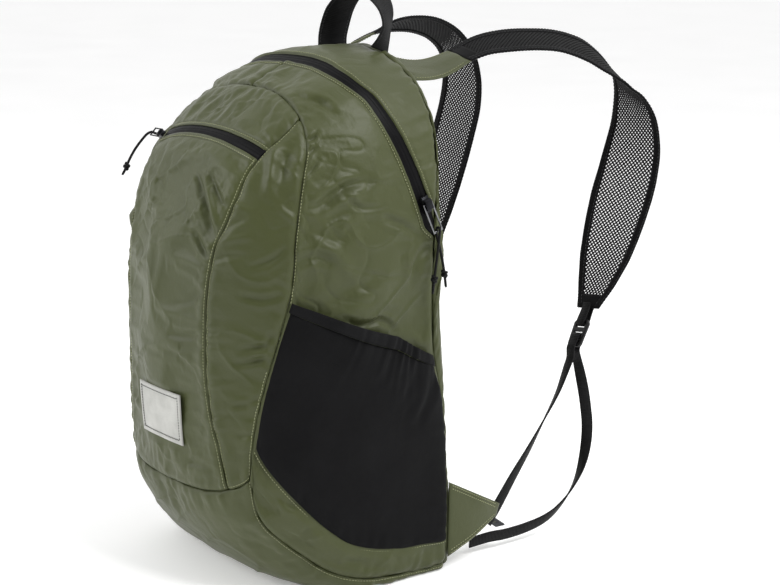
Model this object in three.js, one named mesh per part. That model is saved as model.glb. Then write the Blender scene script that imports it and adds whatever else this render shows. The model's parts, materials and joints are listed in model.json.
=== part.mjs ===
// Daypack as an assembly of named pieces. Millimetres, +Z up, front toward -Y, resting on z = 0.
import * as THREE from 'three';

// driving dimensions
const HEIGHT = 436; // base to crown
const WIDTH = 276; // across the fullest level
const FRONT_REACH = 145; // middle plane to the fullest point of the front
const BACK_REACH = 68; // middle plane to the back panel
const WALL = 1.6; // cloth with its seam allowance, as stand-in thickness
const SEAM_GAP = 0.3; // clearance along every seam
const ZIP_BAND = 14; // main zip, both tapes
const STRAP_REACH = 237; // back panel to the farthest strap section
const HANDLE_RISE = 47; // haul loop above its feet
const HANDLE_WEB = 25; // haul loop webbing
const WEB = 10; // adjuster webbing
const WEB_THICK = 1.6;
const POCKET_STANDOFF = 7; // widest opening of a side pocket
const LABEL_WIDTH = 68;
const LABEL_HEIGHT = 43;

const HALF = WIDTH / 2;
const V = (x, y, z) => new THREE.Vector3(x, y, z);

// colour, roughness and metalness, by how a piece's name starts; the last row is the olive cloth
const FINISHES = [
  ['main_zip_band', 0x1d1e21, 0.42, 0], ['front_zip_band', 0x1d1e21, 0.42, 0],
  ['side_pocket', 0x161617, 0.75, 0], ['pocket_hem', 0x131314, 0.8, 0],
  ['label_patch', 0xdcdcd6, 0.8, 0], ['strap_binding', 0x111112, 0.85, 0],
  ['strap_mesh', 0x1a1a1b, 0.9, 0], ['strap_end_web', 0x141415, 0.8, 0],
  ['adjuster_webbing', 0x141415, 0.8, 0], ['webbing_end', 0x55565a, 0.8, 0],
  ['haul_loop', 0x161617, 0.8, 0], ['buckle', 0x18181a, 0.4, 0],
  ['main_zip_slider', 0x2c2d30, 0.35, 0.9], ['main_zip_bail', 0xa4a5a8, 0.3, 1],
  ['front_zip_slider', 0x2c2d30, 0.35, 0.9], ['front_zip_bail', 0x3a3b3e, 0.35, 0.9],
  ['main_zip_pull_cord', 0x0f0f10, 0.75, 0], ['front_zip_pull_cord', 0x0f0f10, 0.75, 0],
  ['', 0x5b6142, 0.62, 0],
];
function finish(name) {
  const [, color, roughness, metalness] = FINISHES.find((row) => name.startsWith(row[0]));
  return new THREE.MeshStandardMaterial({ color, roughness, metalness });
}

// body levels: height, half width, reach forward, reach back (shares), roundness front, back
const LEVELS = [
  [0.000, 0.918, 0.455, 0.950, 3.4, 9.5],
  [0.006, 0.935, 0.515, 0.970, 3.2, 9.5],
  [0.030, 0.948, 0.650, 0.990, 2.9, 9.5],
  [0.070, 0.955, 0.765, 1.000, 2.7, 9.5],
  [0.110, 0.955, 0.855, 1.000, 2.7, 9.5],
  [0.150, 0.955, 0.920, 1.000, 2.8, 9.2],
  [0.190, 0.952, 0.950, 1.000, 2.8, 8.6],
  [0.250, 0.948, 0.970, 1.000, 2.8, 8.0],
  [0.330, 0.944, 0.990, 1.000, 2.7, 7.0],
  [0.440, 0.942, 1.000, 1.000, 2.6, 5.6],
  [0.550, 0.945, 0.995, 1.000, 2.6, 5.0],
  [0.640, 0.945, 0.970, 1.000, 2.6, 5.2],
  [0.730, 0.925, 0.920, 1.000, 2.5, 5.5],
  [0.795, 0.890, 0.820, 1.000, 2.5, 6.0],
  [0.850, 0.835, 0.680, 1.000, 2.4, 6.5],
  [0.890, 0.770, 0.540, 0.995, 2.3, 7.0],
  [0.925, 0.685, 0.390, 0.990, 2.2, 6.5],
  [0.955, 0.565, 0.230, 0.985, 2.1, 6.0],
  [0.980, 0.400, 0.090, 0.975, 2.0, 5.5],
  [0.995, 0.200, 0.020, 0.950, 2.0, 5.0],
  [1.000, 0.000, 0.000, 0.930, 2.0, 5.0],
];
const CORE_LOW = 0.25; // the body is measured out from an upright core
const CORE_HIGH = 0.73;
const CORE_Y = -0.10;
const BACK_FLAT = 0.982; // the middle of the back panel is cut flat here

// smooth curve through table rows, first column kept rising when asked
function smoothRow(rows, t, rising = false) {
  const m = rows.length;
  const i = Math.min(m - 2, Math.max(0, Math.floor(t)));
  const f = t - i;
  const step = (k, c) => rows[k + 1][c] - rows[k][c];
  const lean = (k, c) => {
    if (k === 0) return step(0, c);
    if (k === m - 1) return step(m - 2, c);
    const mean = (step(k - 1, c) + step(k, c)) / 2;
    if (!rising || c > 0) return mean;
    return Math.min(mean, 3 * Math.min(Math.abs(step(k - 1, c)), Math.abs(step(k, c))));
  };
  return rows[i].map((_, c) => (2 * f ** 3 - 3 * f ** 2 + 1) * rows[i][c]
    + (f ** 3 - 2 * f ** 2 + f) * lean(i, c)
    + (-2 * f ** 3 + 3 * f ** 2) * rows[i + 1][c] + (f ** 3 - f ** 2) * lean(i + 1, c));
}

const FINE = 3000;
const fine = [];
for (let k = 0; k <= FINE; k++) {
  const r = smoothRow(LEVELS, (k / FINE) * (LEVELS.length - 1), true);
  r[0] = Math.max(r[0], k ? fine[k - 1][0] : 0);
  fine.push(r);
}
function level(share) {
  let lo = 0;
  let hi = FINE;
  while (hi - lo > 1) {
    const mid = (lo + hi) >> 1;
    if (fine[mid][0] <= share) lo = mid; else hi = mid;
  }
  const span = fine[hi][0] - fine[lo][0];
  const f = span > 1e-12 ? Math.min(1, Math.max(0, (share - fine[lo][0]) / span)) : 0;
  return fine[lo].map((a, c) => a + (fine[hi][c] - a) * f);
}
function inside(p) {
  if (p.z < 0 || p.z > HEIGHT || p.y > BACK_FLAT * BACK_REACH) return false;
  const r = level(p.z / HEIGHT);
  const across = Math.abs(p.x) / Math.max(1e-6, r[1] * HALF);
  const front = p.y < 0;
  const along = front ? -p.y / Math.max(1e-6, r[2] * FRONT_REACH) : p.y / Math.max(1e-6, r[3] * BACK_REACH);
  const n = front ? r[4] : r[5];
  return Math.min(across, 50) ** n + Math.min(along, 50) ** n <= 1;
}
const corePoint = (p) => V(0, CORE_Y * FRONT_REACH,
  Math.min(CORE_HIGH * HEIGHT, Math.max(CORE_LOW * HEIGHT, p.z)));
// carries a point straight out from the core onto the body
function push(p, out = 0) {
  const c = corePoint(p);
  const d = p.clone().sub(c).normalize();
  let lo = 0;
  let hi = 400;
  for (let k = 0; k < 40; k++) {
    const mid = (lo + hi) / 2;
    if (inside(c.clone().addScaledVector(d, mid))) lo = mid; else hi = mid;
  }
  const q = c.addScaledVector(d, lo);
  if (q.z < 1e-4) q.z = 0;
  return out ? q.addScaledVector(normalAt(q), out) : q;
}
// outward direction of the body at a point on it
function normalAt(p) {
  const d = p.clone().sub(corePoint(p)).normalize();
  const a = V(0, 0, 1).cross(d);
  if (a.length() < 1e-3) a.set(1, 0, 0);
  a.normalize();
  const b = d.clone().cross(a).normalize();
  const probe = (v, s) => push(p.clone().addScaledVector(v, s));
  const ta = probe(a, 2.5).sub(probe(a, -2.5));
  const tb = probe(b, 2.5).sub(probe(b, -2.5));
  const n = ta.cross(tb).normalize();
  return n.dot(d) < 0 ? n.negate() : n;
}

// seams, right half, as shares: half width, reach (front if negative, else back), height
const at = (r) => V(r[0] * HALF, r[1] * (r[1] < 0 ? FRONT_REACH : BACK_REACH), r[2] * HEIGHT);
const ARCH_CROWN = [
  [0.000, -0.350, 0.934], [0.170, -0.352, 0.930], [0.330, -0.362, 0.921],
  [0.480, -0.380, 0.906], [0.594, -0.393, 0.886],
];
const ARCH_SIDE = [
  [0.594, -0.393, 0.886], [0.668, -0.412, 0.867], [0.739, -0.440, 0.833], [0.783, -0.490, 0.791],
  [0.812, -0.530, 0.748], [0.833, -0.572, 0.679], [0.833, -0.600, 0.587], [0.800, -0.667, 0.498],
  [0.762, -0.716, 0.431], [0.727, -0.765, 0.358], [0.704, -0.792, 0.291], [0.696, -0.797, 0.236],
];
const PRINCESS_TOP = [[0.594, -0.393, 0.886], [0.606, -0.490, 0.862], [0.585, -0.605, 0.834]];
const PRINCESS_ZIP = [[0.585, -0.605, 0.834], [0.570, -0.660, 0.815]];
const PRINCESS_SIDE = [
  [0.570, -0.660, 0.815], [0.563, -0.720, 0.789], [0.556, -0.785, 0.745], [0.535, -0.840, 0.702],
  [0.500, -0.883, 0.665], [0.478, -0.910, 0.620], [0.463, -0.930, 0.564], [0.456, -0.938, 0.507],
  [0.452, -0.938, 0.433], [0.466, -0.930, 0.376], [0.493, -0.924, 0.330], [0.530, -0.903, 0.275],
  [0.560, -0.875, 0.207],
];
const SMILE_MID = [
  [0.560, -0.875, 0.207], [0.400, -0.910, 0.197], [0.217, -0.940, 0.193], [0.000, -0.950, 0.191],
];
const SMILE_END = [[0.560, -0.875, 0.207], [0.640, -0.835, 0.218], [0.696, -0.797, 0.236]];
const FRONT_ZIP_TOP = [
  [0.585, -0.605, 0.834], [0.480, -0.625, 0.846], [0.300, -0.638, 0.856], [0.150, -0.642, 0.861],
  [0.000, -0.643, 0.863],
];
const FRONT_ZIP_LOW = [
  [0.570, -0.660, 0.815], [0.430, -0.680, 0.828], [0.270, -0.693, 0.839], [0.130, -0.698, 0.844],
  [0.000, -0.700, 0.846],
];
const SIDE_BOTTOM = [
  [0.696, -0.797, 0.236], [0.700, -0.775, 0.180], [0.722, -0.730, 0.142], [0.752, -0.660, 0.115],
  [0.812, -0.524, 0.076], [0.865, -0.390, 0.046], [0.920, -0.110, 0.022], [0.935, 0.350, 0.012],
  [0.930, 0.840, 0.010],
];
const ZIP_LINE = [
  [0.000, -0.090, 0.979], [0.150, -0.088, 0.978], [0.300, -0.085, 0.973], [0.490, -0.080, 0.960],
  [0.645, -0.036, 0.936], [0.746, 0.060, 0.902], [0.820, 0.165, 0.860], [0.877, 0.280, 0.812],
  [0.910, 0.390, 0.762], [0.925, 0.490, 0.715], [0.932, 0.580, 0.672],
];
const BACK_CROWN = [
  [0.000, 0.780, 0.996], [0.250, 0.790, 0.986], [0.450, 0.800, 0.965], [0.600, 0.805, 0.928],
  [0.700, 0.800, 0.888], [0.780, 0.785, 0.842], [0.840, 0.745, 0.785], [0.885, 0.690, 0.730],
  [0.905, 0.645, 0.690],
];
const BACK_ZIP = [[0.905, 0.645, 0.690], [0.910, 0.615, 0.655]];
const BACK_SIDE = [
  [0.910, 0.615, 0.655], [0.910, 0.600, 0.550], [0.905, 0.610, 0.450], [0.890, 0.680, 0.390],
  [0.880, 0.780, 0.335], [0.885, 0.830, 0.250], [0.905, 0.840, 0.150], [0.925, 0.840, 0.060],
  [0.930, 0.840, 0.010],
];
const BACK_FOOT = [
  [0.930, 0.840, 0.010], [0.600, 0.870, 0.000], [0.300, 0.875, 0.000], [0.000, 0.875, 0.000],
];

// a seam drawn through its table on the body, cut into even lengths
function seam(table, parts, share = at) {
  const fineLine = [];
  const n = 24 * (table.length - 1);
  for (let k = 0; k <= n; k++) {
    const q = smoothRow(table, (k / n) * (table.length - 1));
    fineLine.push(push(share(q)));
  }
  return evenly(fineLine, parts);
}
function evenly(line, parts) {
  const run = [0];
  for (let k = 1; k < line.length; k++) run.push(run[k - 1] + line[k].distanceTo(line[k - 1]));
  const out = [];
  let i = 0;
  for (let k = 0; k <= parts; k++) {
    const want = (run[run.length - 1] * k) / parts;
    while (i < line.length - 2 && run[i + 1] < want) i++;
    const f = Math.min(1, Math.max(0, (want - run[i]) / Math.max(1e-9, run[i + 1] - run[i])));
    out.push(line[i].clone().lerp(line[i + 1], f));
  }
  return out;
}
const mirror = (p) => V(-p.x, p.y, p.z);
const mirrored = (line) => line.map(mirror);
const join = (...lines) => lines.reduce((a, b) => (a.length ? a.concat(b.slice(1)) : b.slice()), []);
const reversed = (line) => line.slice().reverse();
// right half from the middle out becomes the whole line, right end first
const whole = (line) => join(reversed(line), mirrored(line));

// closed sheet from two matching grids of points; cells left out by keep become holes
function slab(name, outer, inner, keep = () => true) {
  const rows = outer.length;
  const cols = outer[0].length;
  const spots = new Map();
  const pos = [];
  const id = (p) => {
    const key = `${Math.round(p.x * 5e3)},${Math.round(p.y * 5e3)},${Math.round(p.z * 5e3)}`;
    if (!spots.has(key)) { spots.set(key, pos.length / 3); pos.push(p.x, p.y, p.z); }
    return spots.get(key);
  };
  const O = outer.map((r) => r.map(id));
  const I = inner.map((r) => r.map(id));
  const tris = [];
  const tri = (a, b, c) => { if (a !== b && b !== c && a !== c) tris.push([a, b, c]); };
  const quad = (a, b, c, d) => { tri(a, b, c); tri(a, c, d); };
  const has = (i, j) => i >= 0 && j >= 0 && i < rows - 1 && j < cols - 1 && keep(i, j);
  for (let i = 0; i < rows - 1; i++) {
    for (let j = 0; j < cols - 1; j++) {
      if (!has(i, j)) continue;
      quad(O[i][j], O[i + 1][j], O[i + 1][j + 1], O[i][j + 1]);
      quad(I[i][j], I[i][j + 1], I[i + 1][j + 1], I[i + 1][j]);
      if (!has(i - 1, j)) quad(O[i][j], O[i][j + 1], I[i][j + 1], I[i][j]);
      if (!has(i + 1, j)) quad(O[i + 1][j + 1], O[i + 1][j], I[i + 1][j], I[i + 1][j + 1]);
      if (!has(i, j - 1)) quad(O[i + 1][j], O[i][j], I[i][j], I[i + 1][j]);
      if (!has(i, j + 1)) quad(O[i][j + 1], O[i + 1][j + 1], I[i + 1][j + 1], I[i][j + 1]);
    }
  }
  return closed(name, pos, tris);
}
// one mesh from points and triangles, turned so that it faces out
function closed(name, pos, tris) {
  const point = (i) => V(pos[3 * i], pos[3 * i + 1], pos[3 * i + 2]);
  let volume = 0;
  for (const [a, b, c] of tris) volume += point(a).dot(point(b).cross(point(c)));
  const index = [];
  for (const [a, b, c] of tris) index.push(...(volume < 0 ? [a, c, b] : [a, b, c]));
  const g = new THREE.BufferGeometry();
  g.setAttribute('position', new THREE.Float32BufferAttribute(pos, 3));
  g.setIndex(index);
  const mesh = new THREE.Mesh(g, finish(name));
  mesh.name = name;
  return mesh;
}

// four-sided cloth patch: top and foot run across, left and right run down
function patch(top, foot, left, right) {
  const n = left.length - 1;
  const m = top.length - 1;
  const grid = [];
  for (let i = 0; i <= n; i++) {
    const u = i / n;
    const row = [];
    for (let j = 0; j <= m; j++) {
      const v = j / m;
      const p = V(0, 0, 0)
        .addScaledVector(top[j], 1 - u).addScaledVector(foot[j], u)
        .addScaledVector(left[i], 1 - v).addScaledVector(right[i], v)
        .addScaledVector(top[0], -(1 - u) * (1 - v)).addScaledVector(top[m], -(1 - u) * v)
        .addScaledVector(foot[0], -u * (1 - v)).addScaledVector(foot[m], -u * v);
      row.push(i === 0 ? top[j] : i === n ? foot[j] : j === 0 ? left[i] : j === m ? right[i] : push(p));
    }
    grid.push(row);
  }
  return grid;
}
// cloth panel between its seams, drawn back from each by half the seam gap
function panel(name, grid, thick = WALL) {
  const n = grid.length - 1;
  const m = grid[0].length - 1;
  const outer = [];
  const inner = [];
  const same = (a, b) => a.distanceTo(b) < 1e-6;
  for (let i = 0; i <= n; i++) {
    outer.push([]);
    inner.push([]);
    for (let j = 0; j <= m; j++) {
      const p = grid[i][j].clone();
      const nrm = normalAt(p);
      const q = p.clone();
      const draw = (a, b, toward) => {
        if (same(a, b)) return;
        const along = b.clone().sub(a).normalize();
        const side = toward.clone().sub(p);
        side.addScaledVector(nrm, -side.dot(nrm)).addScaledVector(along, -side.dot(along));
        if (side.length() > 1e-6) q.addScaledVector(side.normalize(), SEAM_GAP / 2);
      };
      const tipRow = i === 0 ? same(grid[0][0], grid[0][m]) : i === n && same(grid[n][0], grid[n][m]);
      if (tipRow) {
        const next = grid[i === 0 ? 1 : n - 1];
        const to = next[0].clone().add(next[m]).multiplyScalar(0.5).sub(p).normalize();
        q.addScaledVector(to, 4 * SEAM_GAP);
      } else {
        if (i === 0 || i === n) {
          draw(grid[i][Math.max(0, j - 1)], grid[i][Math.min(m, j + 1)], grid[i === 0 ? 1 : n - 1][j]);
        }
        if (j === 0 || j === m) {
          draw(grid[Math.max(0, i - 1)][j], grid[Math.min(n, i + 1)][j], grid[i][j === 0 ? 1 : m - 1]);
        }
      }
      if (p.z === 0) q.z = 0;
      outer[i].push(q);
      inner[i].push(q.clone().addScaledVector(nrm, -thick));
    }
  }
  return slab(name, outer, inner);
}

// patches of the body, right half first
const archCrown = seam(ARCH_CROWN, 5);
const archSide = seam(ARCH_SIDE, 14);
const arch = join(archCrown, archSide);
const princessTop = seam(PRINCESS_TOP, 3);
const princessZip = seam(PRINCESS_ZIP, 1);
const princessSide = seam(PRINCESS_SIDE, 10);
const smileMid = reversed(seam(SMILE_MID, 5)); // middle out
const smileEnd = seam(SMILE_END, 2);
const frontZipTop = reversed(seam(FRONT_ZIP_TOP, 5));
const frontZipLow = reversed(seam(FRONT_ZIP_LOW, 5));
const sideBottom = seam(SIDE_BOTTOM, 8);
const backCrown = seam(BACK_CROWN, 10);
const backZip = seam(BACK_ZIP, 1);
const backSide = seam(BACK_SIDE, 9);
const backFoot = reversed(seam(BACK_FOOT, 7)); // middle out

// zip edges stand half a band off the zip line and run into the back seam
function zipEdge(side, end, parts) {
  const line = seam(ZIP_LINE, 60);
  const out = line.map((p, k) => {
    const a = line[Math.max(0, k - 1)];
    const b = line[Math.min(line.length - 1, k + 1)];
    const across = normalAt(p).cross(b.clone().sub(a).normalize()).normalize();
    if (across.y < 0) across.negate();
    const q = push(p.clone().addScaledVector(across, (side * ZIP_BAND) / 2));
    if (k === 0) q.x = 0;
    return q;
  });
  const last = out.findIndex((p) => p.z < end.z + 0.02 * HEIGHT);
  const kept = out.slice(0, last < 0 ? out.length : last);
  kept.push(end);
  return evenly(kept, parts).map((p, k) => (k === parts ? end : push(p)));
}
const zipUp = zipEdge(1, backZip[0], 10);
const zipLow = zipEdge(-1, backZip[1], 10);
const topCentre = evenly([zipLow[0], arch[0]], 8)
  .map((p, k) => (k === 0 ? zipLow[0] : k === 8 ? arch[0] : push(p)));

const parts = [];
const add = (mesh) => { parts.push(mesh); return mesh; };

const sideGrid = patch(topCentre, reversed(sideBottom), join(zipLow, backSide), arch);
const gussetGrid = patch([archSide[0], archSide[0], archSide[0]], smileEnd,
  join(princessTop, princessZip, princessSide), archSide);
const flip = (grid) => grid.map((row) => row.map(mirror));

add(panel('side_panel_right', sideGrid));
add(panel('side_panel_left', flip(sideGrid)));
add(panel('front_gusset_right', gussetGrid));
add(panel('front_gusset_left', flip(gussetGrid)));
const middlePatch = (top, foot, side) => patch(whole(top), whole(foot), side, mirrored(side));
add(panel('front_top_panel', middlePatch(archCrown, frontZipTop, princessTop)));
add(panel('front_pocket_panel', middlePatch(frontZipLow, smileMid, princessSide)));
add(panel('front_zip_band', middlePatch(frontZipTop, frontZipLow, princessZip), 1.4));
add(panel('rear_yoke', patch(
  [backCrown[10], backCrown[10], backCrown[10], backCrown[10]],
  [backCrown[10], backCrown[10], backCrown[10], backCrown[10]].map(mirror),
  whole(zipUp), whole(backCrown))));
add(panel('main_zip_band', patch(backZip, mirrored(backZip), whole(zipUp), whole(zipLow)), 1.4));
const smileAll = join(reversed(smileEnd), whole(smileMid), mirrored(smileEnd));
add(panel('bottom_panel', patch(smileAll, whole(backFoot), sideBottom, mirrored(sideBottom))));

// back panel: rings drawn in from the seam loop, closed across the flat middle
function backPanel() {
  const half = join(backCrown, backZip, backSide, reversed(backFoot));
  const loop = half.concat(mirrored(reversed(half).slice(1, -1)));
  const middle = V(0, BACK_FLAT * BACK_REACH, 0.48 * HEIGHT);
  const count = loop.length;
  const ring = (k, share) => loop.map((p, i) => {
    const nrm = normalAt(p);
    if (k === 0) {
      const a = loop[(i + count - 1) % count];
      const b = loop[(i + 1) % count];
      const along = b.clone().sub(a).normalize();
      const side = middle.clone().sub(p);
      side.addScaledVector(nrm, -side.dot(nrm)).addScaledVector(along, -side.dot(along)).normalize();
      const gap = (p.z < 0.02 * HEIGHT ? 4 : 0.5) * SEAM_GAP;
      return { q: p.clone().addScaledVector(side, gap), nrm };
    }
    const aim = V(p.x * share, BACK_REACH, middle.z + (p.z - middle.z) * share);
    const q = push(aim);
    return { q, nrm: normalAt(q) };
  });
  const rings = [ring(0, 1), ring(1, 0.965), ring(2, 0.90), ring(3, 0.80)];
  const pos = [];
  const tris = [];
  const put = (p) => { pos.push(p.x, p.y, p.z); return pos.length / 3 - 1; };
  const O = rings.map((r) => r.map((c) => put(c.q)));
  const I = rings.map((r) => r.map((c) => put(c.q.clone().addScaledVector(c.nrm, -WALL))));
  for (let r = 0; r < rings.length - 1; r++) {
    for (let i = 0; i < count; i++) {
      const k = (i + 1) % count;
      tris.push([O[r][i], O[r][k], O[r + 1][k]], [O[r][i], O[r + 1][k], O[r + 1][i]]);
      tris.push([I[r][i], I[r + 1][k], I[r][k]], [I[r][i], I[r + 1][i], I[r + 1][k]]);
    }
  }
  for (let i = 0; i < count; i++) {
    const k = (i + 1) % count;
    tris.push([O[0][i], I[0][i], I[0][k]], [O[0][i], I[0][k], O[0][k]]);
  }
  const last = rings.length - 1;
  const shape = rings[last].map((c) => new THREE.Vector2(c.q.x, c.q.z));
  const faces = THREE.ShapeUtils.triangulateShape(shape, []);
  const fanFlip = THREE.ShapeUtils.area(shape) < 0;
  for (const [a, b, c] of faces) {
    const f = fanFlip ? [a, c, b] : [a, b, c];
    tris.push([O[last][f[0]], O[last][f[2]], O[last][f[1]]], [I[last][f[0]], I[last][f[1]], I[last][f[2]]]);
  }
  return closed('back_panel', pos, matchTurn(tris));
}
// turns triangles until neighbours agree
function matchTurn(tris) {
  const byEdge = new Map();
  tris.forEach((t, i) => {
    for (let e = 0; e < 3; e++) {
      const a = t[e];
      const b = t[(e + 1) % 3];
      const key = a < b ? `${a},${b}` : `${b},${a}`;
      if (!byEdge.has(key)) byEdge.set(key, []);
      byEdge.get(key).push(i);
    }
  });
  const done = new Set([0]);
  const todo = [0];
  const runs = (t, a, b) => [0, 1, 2].some((e) => t[e] === a && t[(e + 1) % 3] === b);
  while (todo.length) {
    const i = todo.pop();
    const t = tris[i];
    for (let e = 0; e < 3; e++) {
      const a = t[e];
      const b = t[(e + 1) % 3];
      const key = a < b ? `${a},${b}` : `${b},${a}`;
      for (const j of byEdge.get(key)) {
        if (done.has(j)) continue;
        if (runs(tris[j], a, b)) tris[j].reverse();
        done.add(j);
        todo.push(j);
      }
    }
  }
  return tris;
}
add(backPanel());

// side pockets over the side panels, open along the top
const POCKET_TOP = [
  [0.838, -0.600, 0.563], [0.885, -0.490, 0.548], [0.922, -0.340, 0.526], [0.940, -0.150, 0.501],
  [0.942, 0.120, 0.473], [0.930, 0.400, 0.447], [0.915, 0.585, 0.432],
];
const POCKET_FRONT = [
  [0.838, -0.600, 0.563], [0.806, -0.662, 0.498], [0.770, -0.712, 0.431], [0.737, -0.758, 0.358],
  [0.716, -0.776, 0.291],
];
const POCKET_BACK = [
  [0.915, 0.585, 0.432], [0.900, 0.655, 0.385], [0.888, 0.750, 0.330], [0.893, 0.805, 0.240],
  [0.912, 0.815, 0.150], [0.930, 0.815, 0.062],
];
const POCKET_FOOT = [
  [0.930, 0.815, 0.062], [0.948, 0.450, 0.066], [0.948, 0.050, 0.070], [0.920, -0.250, 0.095],
  [0.885, -0.400, 0.130], [0.820, -0.565, 0.190], [0.750, -0.705, 0.250], [0.716, -0.776, 0.291],
];
function pocket(side) {
  const across = 12;
  const down = 10;
  const top = seam(POCKET_TOP, across);
  const foot = reversed(seam(POCKET_FOOT, across));
  const front = seam(POCKET_FRONT, down);
  const back = seam(POCKET_BACK, down);
  const grid = patch(top, foot, front, back);
  const lift = (u, v) => 0.55 + POCKET_STANDOFF * (1 - u) ** 1.3 * Math.sin(Math.PI * v) ** 0.8;
  const layer = (rows, extra) => rows.map(([i, u]) => {
    const lo = Math.floor(i);
    const hi = Math.min(down, lo + 1);
    return grid[lo].map((p, j) => {
      const q = push(p.clone().lerp(grid[hi][j], i - lo));
      const r = q.clone().addScaledVector(normalAt(q), lift(u, j / across) + extra);
      return side > 0 ? r : mirror(r);
    });
  });
  const spread = (from, to, n) => Array.from({ length: n + 1 }, (_, k) => {
    const i = from + ((to - from) * k) / n;
    return [i, i / down];
  });
  const tag = side > 0 ? 'right' : 'left';
  const hemRows = spread(0, 0.62, 1);
  const bodyRows = [[0.645, 0.0645], ...spread(1, down, 9)];
  add(slab(`pocket_hem_${tag}`, layer(hemRows, 2.4), layer(hemRows, 0)));
  add(slab(`side_pocket_${tag}`, layer(bodyRows, 1.4), layer(bodyRows, 0)));
}
pocket(1);
pocket(-1);

// woven label on the lower front
function label() {
  const rows = [];
  const backRows = [];
  for (let i = 0; i <= 4; i++) {
    rows.push([]);
    backRows.push([]);
    for (let j = 0; j <= 6; j++) {
      const z = 0.3235 * HEIGHT + LABEL_HEIGHT * (0.5 - i / 4);
      const p = push(V(LABEL_WIDTH * (j / 6 - 0.5), -FRONT_REACH, z));
      const n = normalAt(p);
      rows[i].push(p.clone().addScaledVector(n, 1.1));
      backRows[i].push(p.clone().addScaledVector(n, 0.35));
    }
  }
  add(slab('label_patch', rows, backRows));
}
label();

// flat strip along a route; each row: middle point, width direction, half width, and its thickness
function strip(name, rows, thick) {
  const layer = (lift) => stripFrame(rows).map((f) => [-f.half, f.half].map((s) => f.at.clone()
    .addScaledVector(f.across, s).addScaledVector(f.up, lift)));
  return slab(name, layer(thick / 2), layer(-thick / 2));
}
function stripFrame(rows) {
  return rows.map((r, i) => {
    const a = rows[Math.max(0, i - 1)].at;
    const b = rows[Math.min(rows.length - 1, i + 1)].at;
    const along = r.along ? r.along.clone() : b.clone().sub(a).normalize();
    const across = r.across.clone().addScaledVector(along, -r.across.dot(along)).normalize();
    return { at: r.at.clone(), along, across, up: along.clone().cross(across).normalize(), half: r.half };
  });
}
// rows of a route table: x, y, z, width direction x, y, z, half width
function route(table, count, place) {
  const out = [];
  for (let k = 0; k <= count; k++) {
    const r = smoothRow(table, (k / count) * (table.length - 1));
    out.push({ at: place(r), across: V(r[3], r[4], r[5]).normalize(), half: r[6] });
  }
  return out;
}
// strap places: share of half width, share of the reach behind the back panel, share of height
const behind = (r) => V(r[0] * HALF, BACK_REACH + r[1] * STRAP_REACH, r[2] * HEIGHT);

const STRAP_RIGHT = [
  [0.391, 0.239, 0.977, 0.87, -0.38, -0.26, 19], [0.420, 0.336, 0.996, 0.84, -0.42, -0.30, 21],
  [0.455, 0.438, 1.004, 0.81, -0.46, -0.32, 22], [0.486, 0.545, 1.005, 0.79, -0.52, -0.29, 23],
  [0.515, 0.652, 0.999, 0.74, -0.61, -0.26, 24], [0.543, 0.757, 0.982, 0.72, -0.65, -0.23, 25],
  [0.564, 0.840, 0.958, 0.73, -0.66, -0.14, 26], [0.580, 0.900, 0.934, 0.75, -0.66, 0.02, 27],
  [0.595, 0.941, 0.910, 0.79, -0.59, 0.16, 28], [0.609, 0.970, 0.880, 0.92, -0.32, 0.20, 29],
  [0.623, 0.987, 0.833, 0.98, -0.03, 0.16, 30], [0.636, 0.976, 0.778, 0.97, 0.18, 0.11, 31],
  [0.647, 0.949, 0.725, 0.94, 0.32, 0.11, 31], [0.659, 0.910, 0.672, 0.92, 0.36, 0.13, 31],
  [0.674, 0.864, 0.613, 0.93, 0.32, 0.16, 30], [0.690, 0.815, 0.552, 0.96, 0.24, 0.15, 27],
  [0.708, 0.765, 0.497, 0.98, 0.12, 0.14, 21], [0.724, 0.720, 0.456, 0.99, 0.00, 0.12, 14],
];
const STRAP_LEFT = [
  [-0.345, 0.120, 1.003, 0.93, 0.10, 0.33, 19], [-0.360, 0.215, 1.022, 0.93, 0.05, 0.35, 21],
  [-0.375, 0.320, 1.028, 0.94, 0.00, 0.34, 22], [-0.392, 0.430, 1.022, 0.95, -0.05, 0.30, 23],
  [-0.410, 0.530, 1.000, 0.97, -0.05, 0.22, 24], [-0.430, 0.605, 0.962, 0.99, 0.00, 0.12, 25],
  [-0.448, 0.640, 0.910, 1.00, 0.04, 0.04, 27], [-0.465, 0.640, 0.852, 1.00, 0.05, 0.00, 29],
  [-0.482, 0.615, 0.790, 1.00, 0.05, 0.00, 30], [-0.498, 0.585, 0.728, 1.00, 0.05, 0.00, 30],
  [-0.516, 0.555, 0.668, 1.00, 0.05, 0.00, 29], [-0.536, 0.525, 0.608, 1.00, 0.04, 0.00, 27],
  [-0.558, 0.492, 0.548, 1.00, 0.03, 0.00, 24], [-0.582, 0.460, 0.492, 1.00, 0.02, 0.00, 19],
  [-0.604, 0.435, 0.448, 1.00, 0.00, 0.00, 13],
];
const BINDING = 7; // bound edge of a strap
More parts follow.
